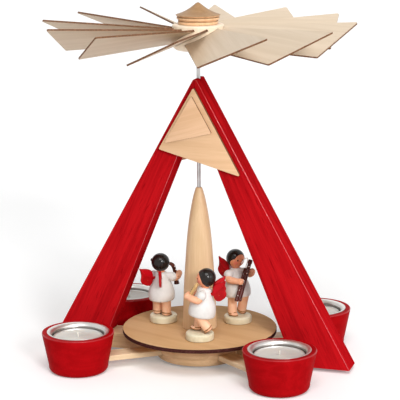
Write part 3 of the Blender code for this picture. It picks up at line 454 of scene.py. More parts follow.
def build_cup(label, number):
    centre, size, _, high = span(f"candle_cup_{label}")
    _, insert_size, insert_low, insert_high = span(f"cup_insert_{label}")
    bearing = atan2(centre.y, centre.x)
    radius = size.x / 2 / cos(pi / CUP_FACETS) if size.x < size.y else size.x / 2
    top = high.z
    foot = radius * CUP_FOOT_SHARE
    lip = insert_size.x / 2
    bore = lip - 3 * MM
    floor = insert_low.z - 0.2 * MM
    foot_side = foot + (radius - foot) * CUP_FOOT_ROUND / top
    outside = arc((foot_side - CUP_FOOT_ROUND, CUP_FOOT_ROUND), CUP_FOOT_ROUND, -90, 8, 8)
    rim = arc((radius - CUP_RIM_ROUND, top - CUP_RIM_ROUND), CUP_RIM_ROUND, 0, 90, 5)
    seat = arc((lip + 0.1 * MM, top - 3.8 * MM), 3.4 * MM, 96, 180, 6)
    profile = [(0, 0), *outside, *rim, (lip + 0.4 * MM, top), *seat, (bore, floor), (0, floor)]
    place = upright_at(centre) @ Matrix.Rotation(bearing + pi, 4, "Z")
    if number == 0:
        # The rim's pinker red is a painted sheen on the rounded rim and the seat; its thin coat is a real gloss.
        lacquer("red_rim_sheen", (0.4, 0.014, 0.019), (0.31, 0.008, 0.011), 0.3, 0.16, 0.2)
    stain = [red_turned(f"red_cup_{label}", number * 0.7), bpy.data.materials["red_rim_sheen"]]
    # Faces that lean upwards, on the rim and in the seat, take the painted sheen.
    cup = new_piece(f"cup_{label}", turned(profile), stain, "stand",
                    [f"candle_cup_{label}"], place, paint=lambda face: 1 if 0.12 < face.normal.z < 0.97 else 0)
    arm_low, arm_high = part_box(f"cup_arm_{label}")
    side = foot + (radius - foot) * arm_low.z / top
    half = ARM_HALF_WIDTH + PLAY
    carved(cup, [box((side - 6 * MM - PLAY, -half, arm_low.z - PLAY), (radius + MM, half, arm_high.z + PLAY))])

    seat_z = insert_low.z
    inner = bore - 0.4 * MM
    wall = INSERT_WALL
    crest = insert_high.z
    middle = (lip, crest - wall - INSERT_FLARE)
    outside = arc(middle, INSERT_FLARE, 180, 92, 8)
    edge = arc((lip - 0.05 * MM, crest - wall / 2), wall / 2, -90, 90, 4)
    inside = arc(middle, INSERT_FLARE + wall, 92, 180, 8)
    outside = [point for point in outside if point[0] < lip - 0.3 * MM]
    inside = [point for point in inside if point[0] < lip - 0.3 * MM]
    profile = [(0, seat_z), (inner - 0.8 * MM, seat_z), (inner, seat_z + 0.8 * MM), *outside, *edge, *inside,
               (inner - wall, seat_z + wall), (0, seat_z + wall)]
    satin = metal(f"insert_satin_{label}", (0.65, 0.632, 0.603), (0.534, 0.522, 0.499), (0.34, 0.46),
                  (0.4, 0.4, 3), 900)
    # The inner walls take a darker copy of the satin metal: painted shade for the dark inside of the insert.
    inner_painted_shade = metal(f"insert_dull_{label}", (0.33, 0.31, 0.29), (0.24, 0.225, 0.21), (0.3, 0.42),
                        (0.4, 0.4, 3), 900)
    # Faces of the upright walls take the second metal, the painted shade.
    new_piece(f"insert_{label}", turned(profile), [satin, inner_painted_shade], "stand",
              [f"cup_insert_{label}"], upright_at(centre),
              paint=lambda face: 1 if abs(face.normal.z) < 0.42 else 0)


def build_tealight(label, number):
    centre, size, low, high = span(f"tealight_shell_{label}")
    wax_low, wax_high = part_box(f"tealight_wax_{label}")
    radius = size.x / 2
    rim = high.z
    place = upright_at(centre)
    outer = radius - FOIL_SETBACK
    inner = outer - FOIL_WALL
    roll = arc((radius - 0.25 * MM, rim - 0.25 * MM), 0.25 * MM, -60, 200, 8)
    profile = [(0, low.z), (radius - MM, low.z), (outer, low.z + 0.9 * MM), (outer, rim - 0.5 * MM), *roll,
               (inner, rim - 0.6 * MM), (inner, low.z + FOIL_WALL), (0, low.z + FOIL_WALL)]
    foil = metal("tealight_foil", (0.696, 0.684, 0.661), (0.58, 0.568, 0.545), (0.26, 0.4), (1, 1, 0.1),
                 1200) if number == 0 else bpy.data.materials["tealight_foil"]
    body = f"tealight_{label}"
    new_piece(f"foil_cup_{label}", turned(profile), [foil], body,
              [f"tealight_shell_{label}"], place)

    if number == 0:
        wax = Finish("white_wax", roughness=0.38)
        cloud = wax.noise(wax.mapped(), 120, 3, 0.5)
        wax.paint(wax.mix(cloud, (0.6, 0.585, 0.54), (0.54, 0.525, 0.48)))
        wax.set(wax.shader, Subsurface_Weight=0.25, Subsurface_Radius=(0.004, 0.003, 0.002))
        wax.bump(wax.noise(wax.mapped(), 500, 3, 0.5), 0.06 * MM)
        cotton = Finish("wick_cotton", roughness=0.8)
        braid = cotton.noise(cotton.mapped(scale=(1, 1, 0.5)), 2600)
        cotton.paint(cotton.mix(braid, (0.86, 0.83, 0.76), (0.6, 0.56, 0.48)))
        cotton.bump(braid, 0.1 * MM)
    surface = wax_high.z - 4.2 * MM
    edge = inner - 0.1 * MM
    top = [(edge, surface + 0.5 * MM), (edge - 0.6 * MM, surface + 0.1 * MM), (edge * 0.6, surface),
           (2.4 * MM, surface + 0.05 * MM), (1.5 * MM, surface + 0.35 * MM), (0, surface + 0.4 * MM)]
    profile = [(0, wax_low.z), (edge, wax_low.z), *top]
    foot = surface / MM
    lean = 0.35 if number % 2 else -0.35
    wick = tube([(0, 0, foot), (0, 0, foot + 2.2), (lean, 0.1, wax_high.z / MM - 0.5)], 0.5, 14)
    solid = turned(profile)
    faces = len(solid.faces)
    whole = together(solid, wick)
    whole.faces.ensure_lookup_table()
    for face in whole.faces[faces:]:
        face.material_index = 1
    new_piece(f"wax_{label}", whole, [bpy.data.materials["white_wax"], bpy.data.materials["wick_cotton"]], body,
              [f"tealight_wax_{label}"], place)


def build_base():
    _, size, low, high = span("centre_block")
    radius = size.y / 2
    height = high.z - low.z
    steps = [(0.955, 0), (0.965, 0.1), (0.965, 0.3), (0.985, 0.36), (1, 0.42), (1, 0.52), (0.985, 0.58),
             (0.975, 0.66), (0.975, 0.93)]
    side = [(share * radius, low.z + rise * height) for share, rise in steps]
    top = arc((side[-1][0] - 1.2 * MM, high.z - 1.2 * MM), 1.2 * MM, 0, 90, 4)
    foot = arc((side[0][0] - MM, low.z + MM), MM, -90, 0, 4)
    pocket_low, pocket_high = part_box("foot_bearing")
    pocket = pocket_high.x + PLAY
    floor = pocket_low.z - PLAY
    profile = [(0, low.z), *foot, *side[1:], *top, (pocket, high.z), (pocket, floor), (0, floor)]
    block_wood = wood("block_maple", (0.766, 0.522, 0.302), (0.51, 0.313, 0.151), (0, 0, 0), 190, 1300, 0.3)
    block = new_piece("block", turned(profile), [block_wood], "stand", ["centre_block"])
    reach = radius + 2 * MM
    rail_low, rail_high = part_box("frame_rail")
    cuts = [box((-reach, rail_low.y - PLAY, rail_low.z - PLAY), (reach, rail_high.y + PLAY, rail_high.z + PLAY))]
    for label in CUPS:
        arm_low, arm_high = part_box(f"cup_arm_{label}")
        cup_centre = span(f"candle_cup_{label}")[0]
        bearing = atan2(cup_centre.y, cup_centre.x)
        half = ARM_HALF_WIDTH + PLAY
        cut = box((28 * MM, -half, arm_low.z - PLAY), (reach, half, arm_high.z + PLAY))
        cut.transform(Matrix.Rotation(bearing, 4, "Z"))
        cuts.append(cut)
        dress(f"cup_arm_{label}", wood(f"arm_wood_{label}", (0.882, 0.696, 0.464), (0.58, 0.394, 0.209),
                                       (0, 0, -bearing), 300, 1500, 0.3))
    carved(block, [together(*cuts)])
    dress("frame_rail", wood("rail_wood_grain", (0.696, 0.464, 0.255), (0.441, 0.255, 0.116), (0, 0, 0), 300,
                             1500, 0.4))
    dress("foot_bearing", metal("turned_brass", (0.93, 0.719, 0.325), (0.766, 0.534, 0.209), (0.22, 0.36)))


LEG_MITRE = 0.15 * MM
LEG_RIDGE = 1.3 * MM
LEG_FOOT_OUTER = 122.1 * MM
LEG_FOOT_INNER = 78.8 * MM
LEG_CROTCH = 195.9 * MM
ARRIS = 0.55 * MM


def build_frame():
    # The arrises take a lighter, pinker red than the board: a painted highlight along every edge, under a real
    # full coat.
    arris_highlight = lacquer("red_arris_highlight", (0.65, 0.0522, 0.0638), (0.557, 0.0232, 0.0348), 0.22, 1, 0.14)
    for label, side in (("left", -1), ("right", 1)):
        low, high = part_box(f"frame_leg_{label}")
        corners = ((LEG_MITRE, high.z), (LEG_RIDGE, high.z), (LEG_FOOT_OUTER, low.z), (LEG_FOOT_INNER, low.z),
                   (LEG_MITRE, LEG_CROTCH))
        bm = plate([(side * x, z) for x, z in corners], low.y, high.y, upright=True)
        arrises = [edge for edge in bm.edges if not all(abs(vert.co.x) < 0.2 * MM for vert in edge.verts)]
        bmesh.ops.bevel(bm, geom=arrises, offset=ARRIS, segments=3, profile=0.5, affect="EDGES",
                        clamp_overlap=True)
        lean = atan2(high.z - low.z, 0.5 * (LEG_FOOT_OUTER + LEG_FOOT_INNER))
        # Bevel faces between the front and the sides take the painted highlight.
        leg = new_piece(f"leg_{label}", bm, [red_board(f"red_leg_{label}", -side * lean), arris_highlight], "stand",
                        [f"frame_leg_{label}"],
                        paint=lambda face: 1 if 0.15 < abs(face.normal.y) < 0.92 else 0)
        carved(leg, [turned([(0, 180 * MM), (BORE, 180 * MM), (BORE, 230 * MM), (0, 230 * MM)], 32)])

    edge = burnt("laser_edge", (0.162, 0.0673, 0.0302))
    ply = wood("gusset_ply", PLY_LIGHT, PLY_DARK, (QUARTER, 0, 0), 170, 1300, 0.18, (0.46, 0.6), 0, 0.015)
    corners = [(0, 215.5), (-28.1, 167.2), (36.8, 149.1)]
    for end, mirror in (("front", 1), ("rear", -1)):
        low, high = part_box(f"gusset_{end}")
        outline = rounded([(mirror * x * MM, z * MM) for x, z in corners], 0.9 * MM)
        bm = plate(outline, low.y, high.y, 0.12 * MM, 2, upright=True)
        new_piece(f"gusset_plate_{end}", bm, [ply, edge], "stand", [f"gusset_{end}"],
                  paint=faces_along(1))
    low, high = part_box("gusset_cover")
    outline = rounded([(x * MM, z * MM) for x, z in ((-1.1, 209.5), (-23.3, 172.1), (14.7, 181.4))], 0.9 * MM)
    cover_ply = wood("cover_ply", (0.893, 0.58, 0.36), PLY_DARK, (QUARTER, 0, 0.3), 170, 1300, 0.15,
                     (0.46, 0.6), 0, 0.015, (0.02, 0, 0.01))
    new_piece("gusset_cover_plate", plate(outline, low.y, high.y, 0.1 * MM, 2, upright=True), [cover_ply, edge],
              "stand", ["gusset_cover"], paint=faces_along(1))


# Rotor

def build_spindle():
    low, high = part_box("shaft")
    radius = 1.45 * MM
    profile = [(0, low.z), (0.3 * MM, low.z + 0.2 * MM), (radius, low.z + 2.6 * MM), (radius, high.z - 0.4 * MM),
               (radius - 0.4 * MM, high.z), (0, high.z)]
    steel = metal("drawn_steel", (0.58, 0.568, 0.557), (0.464, 0.452, 0.441), (0.22, 0.36), (1, 1, 0.02))
    new_piece("shaft_rod", turned(profile, COARSE), [steel], "rotor", ["shaft"])

    _, size, low, high = span("turntable")
    radius = size.x / 2
    top = arc((radius - 0.4 * MM, high.z - 0.4 * MM), 0.4 * MM, 0, 90, 3)
    foot = arc((radius - 0.2 * MM, low.z + 0.2 * MM), 0.2 * MM, -90, 0, 2)
    profile = [(BORE, low.z), *foot, *top, (BORE, high.z)]
    veneer = wood("turntable_veneer", (0.64, 0.4, 0.205), (0.49, 0.275, 0.115), (0, 0, 0.35), 90, 1100, 0.16,
                  (0.46, 0.58), 0.05, 0.012, gloss=0)
    edge = burnt("turntable_edge", (0.0406, 0.0081, 0.0058))
    new_piece("turntable_disc", turned(profile, 160, ring=True), [veneer, edge], "rotor",
              ["turntable"], paint=faces_along(2, 0.75))

    _, size, low, high = span("cone_post")
    radius = size.x / 2
    rise = high.z - low.z
    shares = [(1, 0), (0.97, 0.09), (0.94, 0.19), (0.888, 0.336), (0.812, 0.47), (0.724, 0.6235),
              (0.575, 0.78), (0.388, 0.908), (0.25, 0.972), (0.19, 0.993), (0.15, 1)]
    side = flowing([(share * radius, low.z + height * rise, 0) for share, height in shares], 4)
    profile = [(BORE, low.z), *[(max(point.x, BORE + 0.05 * MM), point.y) for point in side], (BORE, high.z)]
    cone = wood("cone_maple", (0.777, 0.545, 0.325), (0.615, 0.383, 0.191), (0, QUARTER, 0), 230, 1500, 0.18,
                (0.4, 0.52), 0.12, 0.012)
    new_piece("cone", turned(profile, FINE, ring=True), [cone], "rotor", ["cone_post"])


# Propeller

BLADES = 12
BLADE_PHASE = radians(0.5)
BLADE_PITCH = radians(25)
BLADE_HEIGHT = 253.5 * MM
BLADE_THICKNESS = 1.3 * MM
BLADE_ROOT = 13 * MM
BLADE_REAR = -14.5 * MM
BLADE_FRONT = 12.8 * MM
CAP_SEAT = 262.3 * MM


def blade_place(number):
    turn = Matrix.Rotation(BLADE_PHASE + number * tau / BLADES, 4, "Z")
    return Matrix.Translation((0, 0, BLADE_HEIGHT)) @ turn @ Matrix.Rotation(BLADE_PITCH, 4, "X")


def build_propeller():
    _, size, low, high = span("propeller_hub")
    radius = size.x / 2
    foot = arc((radius - 4.6 * MM, low.z + 4.6 * MM), 4.6 * MM, -90, 0, 8)
    top = arc((radius - 1.4 * MM, high.z - 1.4 * MM), 1.4 * MM, 0, 90, 5)
    peg_floor = high.z - 4.3 * MM
    profile = [(0, peg_floor - 1.4 * MM), (BORE, peg_floor - 1.4 * MM), (BORE, low.z), *foot, *top,
               (3.3 * MM, high.z), (3.3 * MM, peg_floor), (0, peg_floor)]
    maple = wood("hub_maple", (0.93, 0.8, 0.626), (0.858, 0.65, 0.464), (0, QUARTER, 0), 200, 1400, 0.15,
                 (0.42, 0.55), 0.1, 0.012)
    hub = new_piece("hub", turned(profile), [maple], "propeller", ["propeller_hub"])
    cuts = []
    half = BLADE_THICKNESS / 2
    for number in range(BLADES):
        cut = box((BLADE_ROOT - PLAY, BLADE_REAR - 2 * PLAY, -half - PLAY),
                  (radius + 2 * MM, BLADE_FRONT + 2 * PLAY, half + PLAY))
        cut.transform(blade_place(number))
        cuts.append(cut)
    carved(hub, [together(*cuts)])

    _, size, low, high = span("propeller_cap")
    radius = size.x / 2
    rise = high.z - CAP_SEAT
    rings = [(0.885, 0), (0.9, 0.05), (0.9, 0.12), (0.885, 0.145), (0.862, 0.155), (0.862, 0.19),
             (0.925, 0.205), (0.955, 0.245), (0.955, 0.3), (0.935, 0.335), (0.918, 0.345), (0.918, 0.362),
             (0.985, 0.385), (1, 0.41)]
    roof = flowing([(1, 0.41, 0), (0.96, 0.432, 0), (0.8, 0.49, 0), (0.615, 0.575, 0), (0.46, 0.665, 0),
                    (0.31, 0.77, 0), (0.185, 0.875, 0), (0.085, 0.955, 0), (0, 1, 0)], 4)
    side = [(share * radius, CAP_SEAT + height * rise) for share, height in rings]
    side += [(max(0, point.x) * radius, CAP_SEAT + point.y * rise) for point in roof[1:-1]]
    profile = [(0, low.z), (3 * MM, low.z), (3 * MM, CAP_SEAT), *side, (0, high.z)]
    # One turned wood in two copies: the darker roof is painted shade and the lighter sides are painted light.
    roof_shaded = wood("cap_roof_shaded", (0.42, 0.25, 0.125), (0.3, 0.16, 0.07), (0, QUARTER, 0), 260, 1500, 0.2,
                  (0.34, 0.46), 0.05, 0.012, gloss=0.08)
    bands = wood("cap_sides_lit", (0.928, 0.603, 0.36), (0.696, 0.406, 0.197), (0, QUARTER, 0), 260, 1500,
                 0.2, (0.3, 0.42), 0.1, 0.012, gloss=0.12)
    # Faces that look up take the shaded copy and the others the lit copy.
    new_piece("cap", turned(profile), [roof_shaded, bands], "propeller", ["propeller_cap"],
              paint=lambda face: 0 if face.normal.z > 0.45 else 1)

    edge = burnt("blade_edge", (0.168, 0.0789, 0.0394))
    tips = [(97.2 * MM, -25.8 * MM), (118 * MM, 24.1 * MM)]
    outline = rounded([(BLADE_ROOT, BLADE_REAR), *tips, (BLADE_ROOT, BLADE_FRONT)], 1.2 * MM)
    for number in range(BLADES):
        shift = (number * 0.37, number * 0.11, 0)
        face = wood(f"blade_veneer_{number + 1:02d}", BLADE_LIGHT, BLADE_DARK, (0, 0, 0.12), 120, 900, 0.14,
                    (0.48, 0.62), 0, 0.012, shift)
        new_piece(f"blade_plate_{number + 1:02d}", plate(outline, -half, half, 0.08 * MM, 1), [face, edge],
                  "propeller", [f"blade_{number + 1:02d}"], blade_place(number),
                  paint=faces_along(2))


# Musicians

# Places are in millimetres and turns in degrees: a turn of the facing, a forward step, a lift and a backward
# lean of the body, the wings' roll and spread, each leg's side, forward step and swing, the bearing, rise and
# half angle of each window in the hair, and the middles of the sleeves
POSES = {
    "angel_horn": dict(turn=0, step=-1.4, lift=0, lean=3, roll=0, spread=28,
                       legs=((-1, -3.2, 0), (1, -1.4, 0)), hairline=((6, -20, 50), (-44, -26, 33)),
                       sleeves=((3, -8.4, 37.2), (2.4, 8.2, 36.6))),
    "angel_recorder": dict(turn=0, step=1.1, lift=0, lean=7.5, roll=16, spread=28,
                           legs=((-1, 1.4, -7), (1, -7, 32)), hairline=((0, -26, 56),),
                           sleeves=((2.2, -8, 36.4), (2.2, 8, 36.2))),
    "angel_bassoon": dict(turn=9.8, step=2.4, lift=2.5, lean=7, roll=14, spread=18,
                          legs=((-1, -1, 0), (1, -2.2, 17)), hairline=((10, -23, 53), (-40, -30, 33)),
                          sleeves=((1.2, -8.4, 37), (2, 8.2, 37))),
}
HEAD_HEIGHT = 48.6
FACE_CENTRE = (0.5, 0, 48.4)
HEAD_RADIUS = 6.75
HAIR_RADIUS = 7.2
PLINTH_TOP = 5.95
LEG_RADIUS = 3.65
LEG_SPREAD = 4.6
WING_ROOT = (7.4, 37.5)
PAINTS = {}


def figure_place(name, pose):
    """Upright axes over the plinth on the turntable's top, and the body's axes, which lean back."""
    centre = span(f"{name}_plinth")[0]
    facing = atan2(centre.y, centre.x) - QUARTER + radians(pose["turn"])
    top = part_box("turntable")[1].z
    spot = Matrix.Translation((centre.x, centre.y, top)) @ Matrix.Rotation(facing, 4, "Z")
    step = Matrix.Translation((pose["step"] * MM, 0, pose["lift"] * MM))
    return spot, spot @ step @ Matrix.Rotation(-radians(pose["lean"]), 4, "Y")


def paints():
    """The paints and woods that the musicians share, each with its material slot."""
    cheeks = [(Vector(FACE_CENTRE) + on_face(bearing, -24)[0] * HEAD_RADIUS) * MM for bearing in (-36, 36)]
    return {
        "plinth": (lacquer("plinth_cream", (0.766, 0.696, 0.51), (0.673, 0.615, 0.429), 0.42, 0.05),
                   "plinth_paint"),
        "white": (lacquer("dress_paint", (0.766, 0.748, 0.719), (0.708, 0.69, 0.661), 0.4, 0.05),
                  "dress_white"),
        # The legs take a lighter copy of the skin paint: painted light.
        "legs": (lacquer("leg_skin_lit", (0.95, 0.6, 0.4), (0.95, 0.54, 0.335), 0.45, 0.05), "skin"),
        "skin": (lacquer("skin_wood", (0.93, 0.499, 0.313), (0.882, 0.429, 0.249), 0.45, 0.05), "skin"),
        # The face takes a darker, redder copy of the skin paint, which is painted shade from the hair; the blush
        # on the cheeks is real paint.
        "face": (lacquer("face_skin_shaded", (0.9, 0.36, 0.195), (0.82, 0.31, 0.155), 0.42, 0.03, blush=cheeks),
                 "skin"),
        "hair": (lacquer("hair_gloss", (0.017, 0.012, 0.01), (0.01, 0.008, 0.007), 0.2, 0.25, 0.06, 0.008),
                 "dark_gloss_paint"),
        "red": (lacquer("wing_paint", (0.464, 0.0035, 0.007), (0.36, 0.0023, 0.0046), 0.36, 0), "wing_red"),
        "rib": (lacquer("wing_rib_paint", (0.545, 0.0035, 0.0104), (0.476, 0.0035, 0.0081), 0.36, 0),
                "wing_red"),
        "gold": (lacquer("sandal_paint", (0.418, 0.197, 0.0638), (0.255, 0.104, 0.029), 0.4, 0.2),
                 "dark_gloss_paint"),
        # The eyes' dark paint also serves as the painted shade of the recorder's finger holes.
        "eye": (lacquer("eye_paint_and_hole_shade", (0.0464, 0.0162, 0.0093), (0.029, 0.0116, 0.007), 0.25, 0.3),
                "dark_gloss_paint"),
        "lips": (lacquer("lip_paint", (0.58, 0.058, 0.0348), (0.464, 0.0464, 0.029), 0.4, 0.1), "wing_red"),
        "maroon": (lacquer("bassoon_gloss", (0.0986, 0.0139, 0.0081), (0.058, 0.0081, 0.0058), 0.26, 0.3),
                   "bassoon_wood"),
        "dark": (lacquer("horn_gloss", (0.128, 0.0406, 0.0255), (0.058, 0.0162, 0.0104), 0.26, 0.3),
                 "dark_gloss_paint"),
        "pear": (wood("recorder_pear", (0.66, 0.435, 0.19), (0.44, 0.265, 0.1), (0, QUARTER, 0), 500, 2200,
                      0.2), "recorder_wood"),
        "keys": (metal("key_silver", (0.93, 0.905, 0.858), (0.858, 0.742, 0.696), (0.25, 0.35)), "shaft_steel"),
    }


def figure_piece(name, part, meshes, finish, place, node=""):
    """A piece of a musician, which rides on the rotor and may stand for a node of the figure."""
    material, slot = PAINTS[finish]
    replaced = [f"{name}_{node}"] if node else ()
    return new_piece(f"{name}_{part}", together(*meshes), [material], "rotor", replaced, place)


def spread(values, count):
    """The values read evenly at so many places."""
    result = []
    for i in range(count):
        t = i / (count - 1) * (len(values) - 1)
        k = min(int(t), len(values) - 2)
        result.append(values[k] + (values[k + 1] - values[k]) * (t - k))
    return result


def limb(points, radii, steps=6):
    line = flowing(points, steps)
    return tube(line, spread(radii, len(line)))


def arm(shoulder, elbow, wrist, fist, thumb):
    """A forearm that comes out of its sleeve and ends in a closed hand."""
    palm = Vector(fist)
    reach = palm - Vector(wrist)
    turn = reach.to_track_quat("X", "Z").to_matrix().to_4x4()
    hand = ball(palm, (2.75, 2.45, 2.65), turn)
    digit = limb([palm + Vector(thumb) * share for share in (0.35, 0.75, 1)], (0.95, 0.85, 0.6))
    return together(limb((shoulder, elbow, wrist, fist), (2.5, 2.75, 2.55, 2.3)), hand, digit)


def build_legs(name, spot, pose):
    skin, gold = [], []
    for side, step, swing in pose["legs"]:
        tilt = radians(swing)
        sole = PLINTH_TOP + LEG_RADIUS * abs(sin(tilt))
        place = Matrix.Translation(Vector((step, side * LEG_SPREAD, sole)) * MM) @ Matrix.Rotation(tilt, 4, "Y")
        length = (22.5 + pose["lift"] - sole) / cos(tilt)
        toe = 0.5 if abs(swing) > 10 else 2.2
        shin = turned([(0, 0.6 * MM), (2.9 * MM, 0.6 * MM), (3.4 * MM, 1.2 * MM), (LEG_RADIUS * MM, 3.4 * MM),
                       (LEG_RADIUS * MM, length * MM), (0, length * MM)], COARSE)
        foot = ball((toe, 0, 1.5), (3.5, 3, 1.35))
        sandal = ball((toe * 0.8, 0, 0.45), (3.7 + toe * 0.4, 3.35, 0.45))
        ring = [(x, y, 2.3 - x / 7) for x, y in arc((0, 0), 3.5, 0, 360, 32)]
        strap = tube(ring, 0.42, 10, False)
        across = limb(((toe + 1, -2.5, 1.6), (toe + 1.3, 0, 2.75), (toe + 1, 2.5, 1.6)), (0.35, 0.45, 0.35))
        for group, parts in ((skin, (shin, foot)), (gold, (sandal, strap, across))):
            for part in parts:
                part.transform(place)
                group.append(part)
    figure_piece(name, "legs", skin, "legs", spot)
    figure_piece(name, "sandals", gold, "gold", spot)


def facing_cone(bearing, rise, half):
    """A cone from the head's middle, for the window of a hairline."""
    depth = 2 * HAIR_RADIUS * MM
    cone = bmesh.new()
    bmesh.ops.create_cone(cone, segments=64, radius1=0, radius2=depth * tan(radians(half)),
                          depth=depth, cap_ends=True, matrix=Matrix.Translation((0, 0, depth / 2)))
    bmesh.ops.remove_doubles(cone, verts=cone.verts, dist=WELD)
    aim = Matrix.Rotation(radians(bearing), 4, "Z") @ Matrix.Rotation(radians(90 - rise), 4, "Y")
    cone.transform(Matrix.Translation((0, 0, HEAD_HEIGHT * MM)) @ aim)
    return cone


def on_face(bearing, rise):
    """A direction from the head's middle and the turn that lays a spot flat on the skin there."""
    a, e = radians(bearing), radians(rise)
    direction = Vector((cos(a) * cos(e), sin(a) * cos(e), sin(e)))
    return direction, direction.to_track_quat("X", "Z").to_matrix().to_4x4()


def build_head(name, stance, pose):
    """The face and neck, the hair with its hairline cut open, and the eyes and lips."""
    middle = Vector(FACE_CENTRE)
    head = ball(middle, (HEAD_RADIUS,) * 3, segments=48)
    forward, turn = on_face(0, -6)
    nose = ball(middle + forward * (HEAD_RADIUS - 0.1), (0.75, 0.6, 0.65), turn, 16)
    neck = turned([(0, 40.4 * MM), (3.2 * MM, 40.4 * MM), (2.9 * MM, 41.8 * MM), (3.4 * MM, 43.4 * MM),
                   (0, 43.6 * MM)], COARSE)
    figure_piece(name, "face", (head, nose, neck), "face", stance, "head")

    dome = [(max(r, 0), h) for r, h in arc((0, (HEAD_HEIGHT + 0.4) * MM), HAIR_RADIUS * MM, -90, 90, 30)]
    hair = figure_piece(name, "hair", [turned(dome, 64)], "hair", stance)
    carved(hair, [facing_cone(*window) for window in pose["hairline"]])
    if name == "angel_horn":
        knots = [ball((-0.6, y, HEAD_HEIGHT + 1.4), (1.25, 1.15, 1.5), segments=20) for y in (-7.3, 7.3)]
        figure_piece(name, "knots", knots, "hair", stance)

    eyes = []
    for bearing in (-20, 20):
        direction, turn = on_face(bearing, -5)
        eyes.append(ball(middle + direction * HEAD_RADIUS, (0.16, 0.55, 0.75), turn, 16))
    figure_piece(name, "eyes", eyes, "eye", stance)
    direction, turn = on_face(2, -30)
    lips = ball(middle + direction * HEAD_RADIUS, (0.18, 0.95, 0.38), turn, 16)
    figure_piece(name, "lips", [lips], "lips", stance)


DRESS_OUTLINE = ((8.4, 18.6), (9.3, 18.7), (9.9, 19.2), (10.25, 20.2), (10.4, 21.9), (10.35, 24), (10, 26.3),
                 (9.3, 28.8), (8.4, 31.1), (7.4, 33.3), (6.6, 35.3), (5.9, 37.3), (5.4, 39), (4.8, 40.4),
                 (4, 41.1), (2.9, 41.4))


def build_dress(name, stance, pose):
    side = flowing([(r * MM, z * MM, 0) for r, z in DRESS_OUTLINE], 4)
    profile = [(0, 19.4 * MM), (6.8 * MM, 19.3 * MM), *[(p.x, p.y) for p in side], (0, 41.4 * MM)]
    parts = [turned(profile, 72)]
    for place in pose["sleeves"]:
        puff = Vector(place)
        shoulder = Vector((puff.x * 0.3, puff.y * 0.42, 38.6))
        parts.append(limb((shoulder, shoulder.lerp(puff, 0.5), puff), (2.3, 2.95, 3.35)))
        parts.append(ball(puff, (3.55, 3.45, 3.75), segments=36))
    figure_piece(name, "dress", parts, "white", stance, "body")


# The wing's outline and its raised upper feather, as (out, up) in millimetres from the wing's root
WING_OUTLINE = ((0, 1.1), (0.7, 4.7), (2.6, 7.2), (6.5, 8.6), (10, 9.2), (11.9, 9.6), (10.9, 6.4),
                (10.5, 3), (11.1, -0.3), (9.7, -3), (6.2, -5.2), (3.4, -5.5), (1.6, -4.5), (0.5, -2.2))
WING_FEATHER = ((0.2, 0), (0.8, 4.4), (2.7, 6.8), (6.5, 8.1), (9.9, 8.7), (11.3, 9), (9.7, 6), (7.6, 4),
                (4.6, 2.2), (2, 0.4))


def build_wings(name, stance, pose):
    reds, ribs, studs = [], [], []
    roll = Matrix.Rotation(radians(pose["roll"]), 2)
    root = Vector(WING_ROOT)

    def leaf(shape, half, edge):
        outline = flowing([(*((root + roll @ Vector(point)) * MM), 0) for point in shape], 5, closed=True)
        return plate([(point.x, point.y) for point in outline], -half * MM, half * MM, edge * MM, 3,
                     upright=True)

    for side in (-1, 1):
        turn = Matrix.Rotation(pi - side * radians(pose["spread"]), 4, "Z")
        stud_place = root + roll @ Vector((5.4, -0.9))
        stud = ball((stud_place.x, 0, stud_place.y), (0.55, 0.98, 0.55), segments=14)
        sheet = leaf(WING_OUTLINE, 0.85, 0.45)
        feather = leaf(WING_FEATHER, 1.15, 0.3)
        lug = box(Vector((1.5, -0.85, root.y - 0.9)) * MM, Vector((root.x + 1.2, 0.85, root.y + 1)) * MM)
        for group, part in ((reds, sheet), (reds, lug), (ribs, feather), (studs, stud)):
            part.transform(turn)
            group.append(part)
    figure_piece(name, "wing_pair", reds, "red", stance, "wings")
    figure_piece(name, "feathers", ribs, "rib", stance)
    figure_piece(name, "studs", studs, "gold", stance)


def build_plinth(name, spot):
    _, size, low, _ = span(f"{name}_plinth")
    radius = size.x / 2
    bottom = low.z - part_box("turntable")[1].z
    top = bottom + size.z
    profile = [(0, bottom), *arc((radius - 0.5 * MM, bottom + 0.5 * MM), 0.5 * MM, -90, 0, 3),
               *arc((radius - 1.7 * MM, top - 1.7 * MM), 1.7 * MM, 0, 90, 6), (0, top)]
    figure_piece(name, "base", [turned(profile, 64)], "plinth", spot, "plinth")


def build_recorder(name, stance):
    start, end = Vector((6.2, 0.1, 44)), Vector((11.8, 0.2, 30.4))
    points = [start.lerp(end, share) for share in (0, 0.1, 0.16, 0.2, 0.24, 0.5, 0.8, 0.86, 0.9, 0.95, 1)]
    radii = (0.75, 1.05, 1.3, 1.5, 1.25, 1.35, 1.45, 1.7, 1.45, 1.65, 1.75)
    figure_piece(name, "pipe", [tube(points, radii, 24, False)], "pear", stance, "recorder")
    left = arm((2.6, 8, 36), (4.2, 8.6, 32.6), (9.2, 6.4, 32.8), (12.6, 3.6, 33.5), (-0.4, -2.4, 1.9))
    right = arm((2.6, -8, 36), (4.2, -8.4, 33.4), (8.6, -6.2, 32.6), (11.6, -3.6, 32.6), (0.2, 2.2, 2))
    figure_piece(name, "arms", (left, right), "skin", stance)
    # Dark dots stand for the finger holes, which are not cut: painted shade of the holes.
    holes = [ball(start.lerp(end, share) + Vector((1.16, 0.41, 0.5)), (0.28,) * 3, segments=10)
             for share in (0.36, 0.46, 0.56)]
    figure_piece(name, "holes", holes, "eye", stance)


